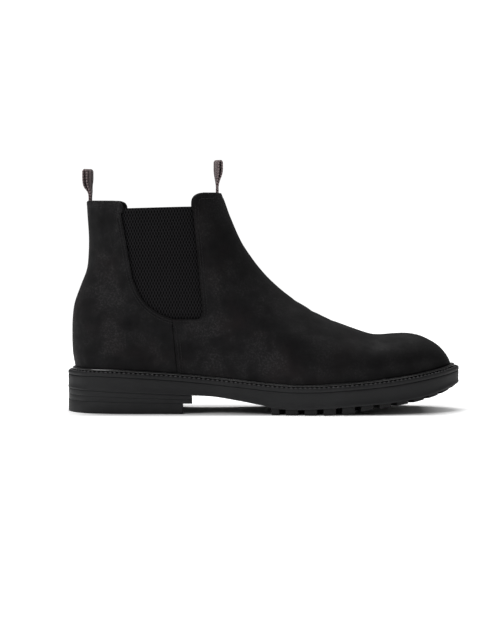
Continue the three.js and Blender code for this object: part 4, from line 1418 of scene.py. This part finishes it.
def sock_liner():
    """The sock, with rounded edges and a shallow dish, and its row of stitches."""
    edge = LEDGE + 3.6
    top = raised(upper_foot, SOCK_TOP)
    under = [(18, -2.6), (18, -2.6), (0.4, -2.6)]
    rings = under + [(0, -2.0), (0, -0.5), (0.5, 0), (2.2, -0.1), (9, -0.7), (18, -1.0), (18, -1.05)]
    piece = stack("sock_liner_leather", rings_on(top, [(edge + inset, by) for inset, by in rings]))
    smooth(piece, 40)
    finish(piece, SOCK_SKIN, "lining", stands_for=["sock_liner"])
    seat = raised(upper_foot, SOCK_TOP - 0.15)
    level_stitches("sock_stitches", edge + 3.2, seat, 900, SOCK_STITCH, THREAD, "lining")


def welt_parts():
    """The welt, with a groove in its top for the stitches."""
    edge = [(0.5, -WELT), (0.1, 0.25 - WELT), (0, 0.7 - WELT)]
    edge += [(0, -0.9), (0.15, -0.35), (0.5, -0.05), (0.8, 0)]
    groove = [(-0.8, 0), (-0.7, -0.55), (-0.3, -0.85), (0.3, -0.85), (0.7, -0.5), (0.85, 0)]
    rings = edge + [(GROOVE_INSET + inset, by) for inset, by in groove] + [(LEDGE + 8, 0), (LEDGE + 8, -WELT)]
    band("welt_strip", rings_on(ledge, rings), 50, SIDEWALL, "sole_rubber", "welt")
    seat = raised(ledge, 0.1)
    stitches = ("welt_stitches", GROOVE_INSET, seat, 1200, WELT_STITCH, WELT_THREAD)
    level_stitches(*stitches, "sole_rubber", tilt=0.12)


def storm_bead():
    """A round glossy bead over the joint of the upper and the welt."""
    centre = LEDGE - BEAD_WIDTH / 2 + 0.15
    rise = 0.15 + BEAD_HEIGHT / 2
    rings = [(centre + side, rise + up) for side, up in oval(BEAD_WIDTH + 0.5, BEAD_HEIGHT, 20)]
    band("storm_bead_strip", rings_on(ledge, rings), 80, BEAD, "bead", "storm_bead")


def outsole():
    """The sole's body, with a small lip round its foot in front of the heel."""
    top = raised(ledge, -WELT - 0.06)
    inner = 22.0
    lugs_start = TREAD_START - LENGTH / 2

    def foot(x):
        return treadline(x) - LIP * ease(x, lugs_start - 8, lugs_start + 3)

    upper = [(inner, 0), (inner, 0), (0.9, 0), (0.35, -0.25), (0.15, -0.8), (0.15, -2.2)]
    lower = [(0.2, 2.1), (0.05, 1.7), (0.0, 1.2), (0.0, 0.5), (0.35, 0.08), (0.9, 0), (inner, 0), (inner, 0)]
    middle = [(0.2, lambda x: mix(top(x), foot(x), 0.5))]
    body = stack("outsole_body", rings_on(top, upper) + middle + rings_on(foot, lower))
    smooth(body, 50)
    finish(body, SIDEWALL, "sole_rubber", stands_for=["outsole"])


def lug(flat_place):
    """A bevelled block from the ground up into the sole; flat_place(a, b) gives its plan, with a and b
    from 0 to 1."""
    piece = primitive("lug", bpy.ops.mesh.primitive_cube_add, size=2)
    edit(piece, lambda: bpy.ops.mesh.subdivide(number_cuts=5))
    a, b, c = (coordinates(piece).T + 1) / 2
    flat = flat_place(a, b)
    x = flat[:, 0]
    lay(piece, np.column_stack([flat, mix(lugline(x), treadline(x) + LUG_SINK, c)]))
    edit(piece, face_outwards)
    modify(piece, "BEVEL", width=0.55 * MM, segments=2, limit_method="ANGLE", angle_limit=math.radians(50))
    return piece


def edge_lugs(side, line, split):
    """Square lugs round one edge of the forepart, fanned out round the toe."""
    reach = lengths(line)
    at_split, at_start = (np.interp(x, line[:, 0], reach) for x in (split, TREAD_START - LENGTH / 2))
    cuts = [at_split + n * LUG_PITCH for n in range(-3, 13)]
    cuts = [at_start - TREAD_GROOVE / 2] + [c for c in cuts if at_start + 3 < c < reach[-1] - 4]
    cuts.append(reach[-1] + TREAD_GROOVE / 2 - 1.0)
    inward = left_of(heading(line)) * -side
    pieces = []
    for start, end in zip(cuts[:-1], cuts[1:]):
        low, high = start + TREAD_GROOVE / 2, end - TREAD_GROOVE / 2
        if high - low < SHORTEST_LUG:
            continue

        def place(a, b):
            at = mix(low, high, a)
            straight = read_along([(low + high) / 2], reach, inward)
            way = read_along(at, reach, inward) * 0.35 + straight * 0.65
            return read_along(at, reach, line) + way * mix(TREAD_INSET - 0.4, LUG_DEPTH, b)[:, None]

        pieces.append(lug(place))
    return pieces


def lugs():
    """Square lugs round the forepart's edge and bars across its middle."""
    sole_back = -LENGTH / 2
    split = sole_back + TREAD_SPLIT
    pieces = [piece for side, line in zip((-1, 1), sides_of(SOLE)) for piece in edge_lugs(side, line, split)]
    outer, inner = plan_sides(LUG_DEPTH + CHANNEL)
    centres = [split + n * LUG_PITCH * 1.5 for n in range(-2, 5)]
    bars = [sole_back + TREAD_START - CHANNEL / 2] + centres + [outer[-1, 0] - 2]
    for start, end in zip(bars[:-1], bars[1:]):
        wide = TREAD_GROOVE if abs(start - split) < 1 or abs(end - split) < 1 else CHANNEL
        low, high = start + wide / 2, min(end - CHANNEL / 2, outer[-1, 0] - 3)
        if high - low < SHORTEST_PAD:
            continue

        def pad(a, b):
            x = mix(low, high, a)
            left, right = (np.interp(x, line[:, 0], line[:, 1]) for line in (outer, inner))
            return np.column_stack([x, mix(left, right, b)])

        pieces.append(lug(pad))
    tread = join("outsole_lugs", pieces)
    smooth(tread, 40)
    finish(tread, TREAD, "sole_rubber")


def heel_loop(front, inset):
    """The heel's plan outline, with a hollow front face whose sides are at `front`."""
    outer, inner = plan_sides(inset)
    centre = front + math.sqrt(BREAST_RADIUS**2 - (0.34 * WIDTH) ** 2)

    def breast(y):
        return centre - np.sqrt(BREAST_RADIUS**2 - np.asarray(y, float) ** 2)

    left = outer[outer[:, 0] < breast(outer[:, 1])]
    right = inner[inner[:, 0] < breast(inner[:, 1])]
    y = np.linspace(left[-1, 1], right[-1, 1], 40)[1:-1]
    loop = np.vstack([left, np.column_stack([breast(y), y]), right[1:][::-1]])
    # Points closer than this to the one before them would spoil the bevel.
    keep = np.concatenate([[True], np.linalg.norm(np.diff(loop, axis=0), axis=1) > 0.25])
    return loop[keep]


def heel():
    """Two lifts that reach in front of the top piece, and the top piece with its grooves."""
    sole_back = -LENGTH / 2
    breast = sole_back + BREAST

    def share_line(share):
        return lambda x: mix(treadline(x), top_piece_line(x), share)

    layers = (
        ("heel_lift_upper", LIFT_OVERHANG, share_line(0.5), share_line(0), 0),
        ("heel_lift_lower", LIFT_OVERHANG, share_line(1), share_line(0.5), 0.1),
        ("heel_top_piece", 0, level_line(0), top_piece_line, -0.1),
    )
    for node, overhang, bottom, top, inset in layers:
        loop = heel_loop(breast + overhang, HEEL_INSET + inset)
        piece = plate(f"{node}_rubber", loop, bottom, raised(top, -0.05))
        if node == "heel_top_piece":
            for x in np.arange(sole_back + 24, breast - 8, HEEL_GROOVE_PITCH):
                roof = [(x + 1.2, HEEL_GROOVE_DEPTH), (x - 1.2, HEEL_GROOVE_DEPTH)]
                cut(piece, [(x - 1.5, -1), (x + 1.5, -1), *roof], **HEEL_GROOVE_REACH)
        modify(piece, "BEVEL", width=0.2 * MM, segments=2, limit_method="ANGLE", angle_limit=math.radians(60))
        smooth(piece, 40)
        finish(piece, SIDEWALL, "sole_rubber", stands_for=[node])


# ================= Pull tabs =================


def tab_path(size, anchor):
    """A ribbon's middle line in the side view, from inside the collar, round the loop and back in."""
    lean, taper, r = size["lean"], size["taper"], size["radius"] - RIBBON / 2
    straight = size["height"] - size["radius"] - RIBBON / 2 - r * 0.35
    opened = (TAB_NECK + taper) / 2
    half_gap = 0.56  # from the fold to each ply's middle

    def side(sign):
        near, far = sign * half_gap, lean + sign * r
        corners = np.array([(near, TAB_NECK), (near, opened), (far, opened), (far, taper)])
        curve = cubic(*corners, np.linspace(0, 1, 16)[:, None])
        return np.vstack([[(near, -anchor)], [(near, 0)], curve])

    angle = np.linspace(0, np.pi, 24)
    top = np.stack([lean + r * np.cos(angle), straight + r * 1.35 * np.sin(angle)], axis=1)
    return np.vstack([side(1), top, side(-1)[::-1]])


def pull_tab(word, size, node, anchor_node):
    """One ribbon, sewn in at both ends; it crosses the fold and turns a little as it rises."""
    fold = np.array([j for j in frame["joints"] if j["name"] == f"{word}_tab_fold"][0]["pos_m"]) / MM
    path = spaced(tab_path(size, TAB_SEWN_IN), 190)
    reach = lengths(path)
    out = -left_of(heading(path))
    across, proud = ringed(rounded_bar(TAB_WIDTH, RIBBON - 0.06, 0.4, 2)).T[..., None]
    rib = 1 + 0.1 * np.cos(2 * np.pi * reach / 0.75)
    turn = np.radians(size["turn"]) * ease(path[:, 1], 0.5, size["height"] * 0.7)
    middle = size["lean"] * ease(path[:, 1], TAB_NECK, size["taper"])
    x, z = (path[:, k] + out[:, k] * (proud * rib) for k in (0, 1))
    x = x - middle
    turned_x = x * np.cos(turn) - across * np.sin(turn) + middle
    turned_y = x * np.sin(turn) + across * np.cos(turn)
    table = np.stack([fold[0] + turned_x, turned_y, fold[2] + z], axis=-1)
    pattern = np.stack([reach + 0 * across, across + 0 * reach], axis=-1)
    ribbon = solid(table_sheet(f"{word}_tab_ribbon", table, pattern))
    smooth(ribbon, 50)
    dress(ribbon, GROSGRAIN)
    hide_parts(node, anchor_node)
    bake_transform(ribbon)


# ================= Carried-over pieces =================


def dress_hidden():
    nails = [f"heel_nail_{k}" for k in range(1, 6)]
    for material, nodes in (
        (STIFFENER, ["toe_puff", "heel_counter"]),
        (CLOTH_DARKENED_AS_SHADE, ["rear_interlining", "vamp_interlining", "insole_rib"]),
        (BOARD, ["insole_board"]),
        (FOAM, ["heel_pad"]),
        (CORK, ["filler"]),
        (STEEL, ["shank", *nails]),
    ):
        for node in nodes:
            dress(frame["nodes"][node], material)


# ================= Stage =================

FLOOR_SIZE = 3.2
FLOOR_GLOW = 0.6
ROOM_LIGHT = 0.14
GROUND_LIGHT = 1.05
LAMPS = (
    ("key_light", (-1.3, -1.3, 1.3), (-0.05, 0, 0.08), 1.0, 22),
    ("fill_light", (1.5, -1.3, 0.9), (0.05, 0, 0.06), 1.0, 2),
    ("top_light", (-0.1, 0.5, 1.6), (0.0, 0, 0.1), 1.2, 24),
)


def stage():
    """A small glowing table in a dim room, three soft lamps, and a white ground behind."""
    floor = primitive("floor", bpy.ops.mesh.primitive_plane_add, size=FLOOR_SIZE)
    glow = {"Specular_IOR_Level": 0.1, "Emission_Strength": FLOOR_GLOW, "Emission_Color": (1, 1, 1, 1)}
    material, tree, principled = new_material("pale_floor", 0.9, **glow)
    vector = object_place(tree)
    paint(tree, principled, noise(tree, vector, 3.0, 2.0, 0.5), (0.9, 0.9, 0.9), (0.93, 0.93, 0.93))
    split = add(tree, "ShaderNodeSeparateXYZ")
    wire(tree, vector, split.inputs[0])
    reaches = [
        maths(tree, "DIVIDE", maths(tree, "ABSOLUTE", split.outputs[axis]), half)
        for axis, half in (("X", LENGTH * MM / 2), ("Y", WIDTH * MM / 2))
    ]
    # The glow fades out round the boot, so the floor under and beside it is darker: painted shade.
    outside = ramp(tree, maths(tree, "MAXIMUM", *reaches), 0.8, 1.15)
    wire(tree, times(tree, outside, FLOOR_GLOW), principled.inputs["Emission Strength"])
    floor.data.materials.append(material)

    world = bpy.data.worlds.new("studio")
    world.use_nodes = True
    tree = world.node_tree
    ground = tree.nodes["Background"]
    ground.inputs["Color"].default_value = (1, 1, 1, 1)
    seen = add(tree, "ShaderNodeLightPath").outputs["Is Camera Ray"]
    strength = plus(tree, ROOM_LIGHT, times(tree, seen, GROUND_LIGHT - ROOM_LIGHT))
    wire(tree, strength, ground.inputs["Strength"])
    bpy.context.scene.world = world

    for name, place, aim, size, power in LAMPS:
        light = bpy.data.lights.new(name, "AREA")
        light.shape, light.size, light.energy = "SQUARE", size, power
        lamp = bpy.data.objects.new(name, light)
        bpy.context.collection.objects.link(lamp)
        lamp.location = place
        lamp.rotation_euler = (Vector(aim) - Vector(place)).to_track_quat("-Z", "Y").to_euler()
    bpy.context.scene.view_settings.view_transform = "Standard"


CAMERA_PLACE = (-0.010929, -1.8, 0.16)
CAMERA_DOWN = 2.66
VIEW_HEIGHT = 0.4879001  # seen from top to bottom, in metres at the boot


def camera():
    data = bpy.data.cameras.new("view")
    data.sensor_fit = "VERTICAL"
    data.sensor_height = 36
    data.lens = data.sensor_height * -CAMERA_PLACE[1] / VIEW_HEIGHT
    data.clip_end = 100
    piece = bpy.data.objects.new("view", data)
    bpy.context.collection.objects.link(piece)
    piece.location = CAMERA_PLACE
    piece.rotation_euler = (math.radians(90 - CAMERA_DOWN), 0, 0)
    bpy.context.scene.camera = piece


camera()
stage()
dress_hidden()
upper_leather()
gore_edges()
collars()
gore(-1, "lateral")
gore(1, "medial")
upper_stitches()
linings()
sock_liner()
welt_parts()
storm_bead()
outsole()
lugs()
heel()
pull_tab("rear", REAR_TAB, "rear_tab", "rear_tab_anchor")
pull_tab("front", FRONT_TAB, "front_tab", "front_tab_anchor")
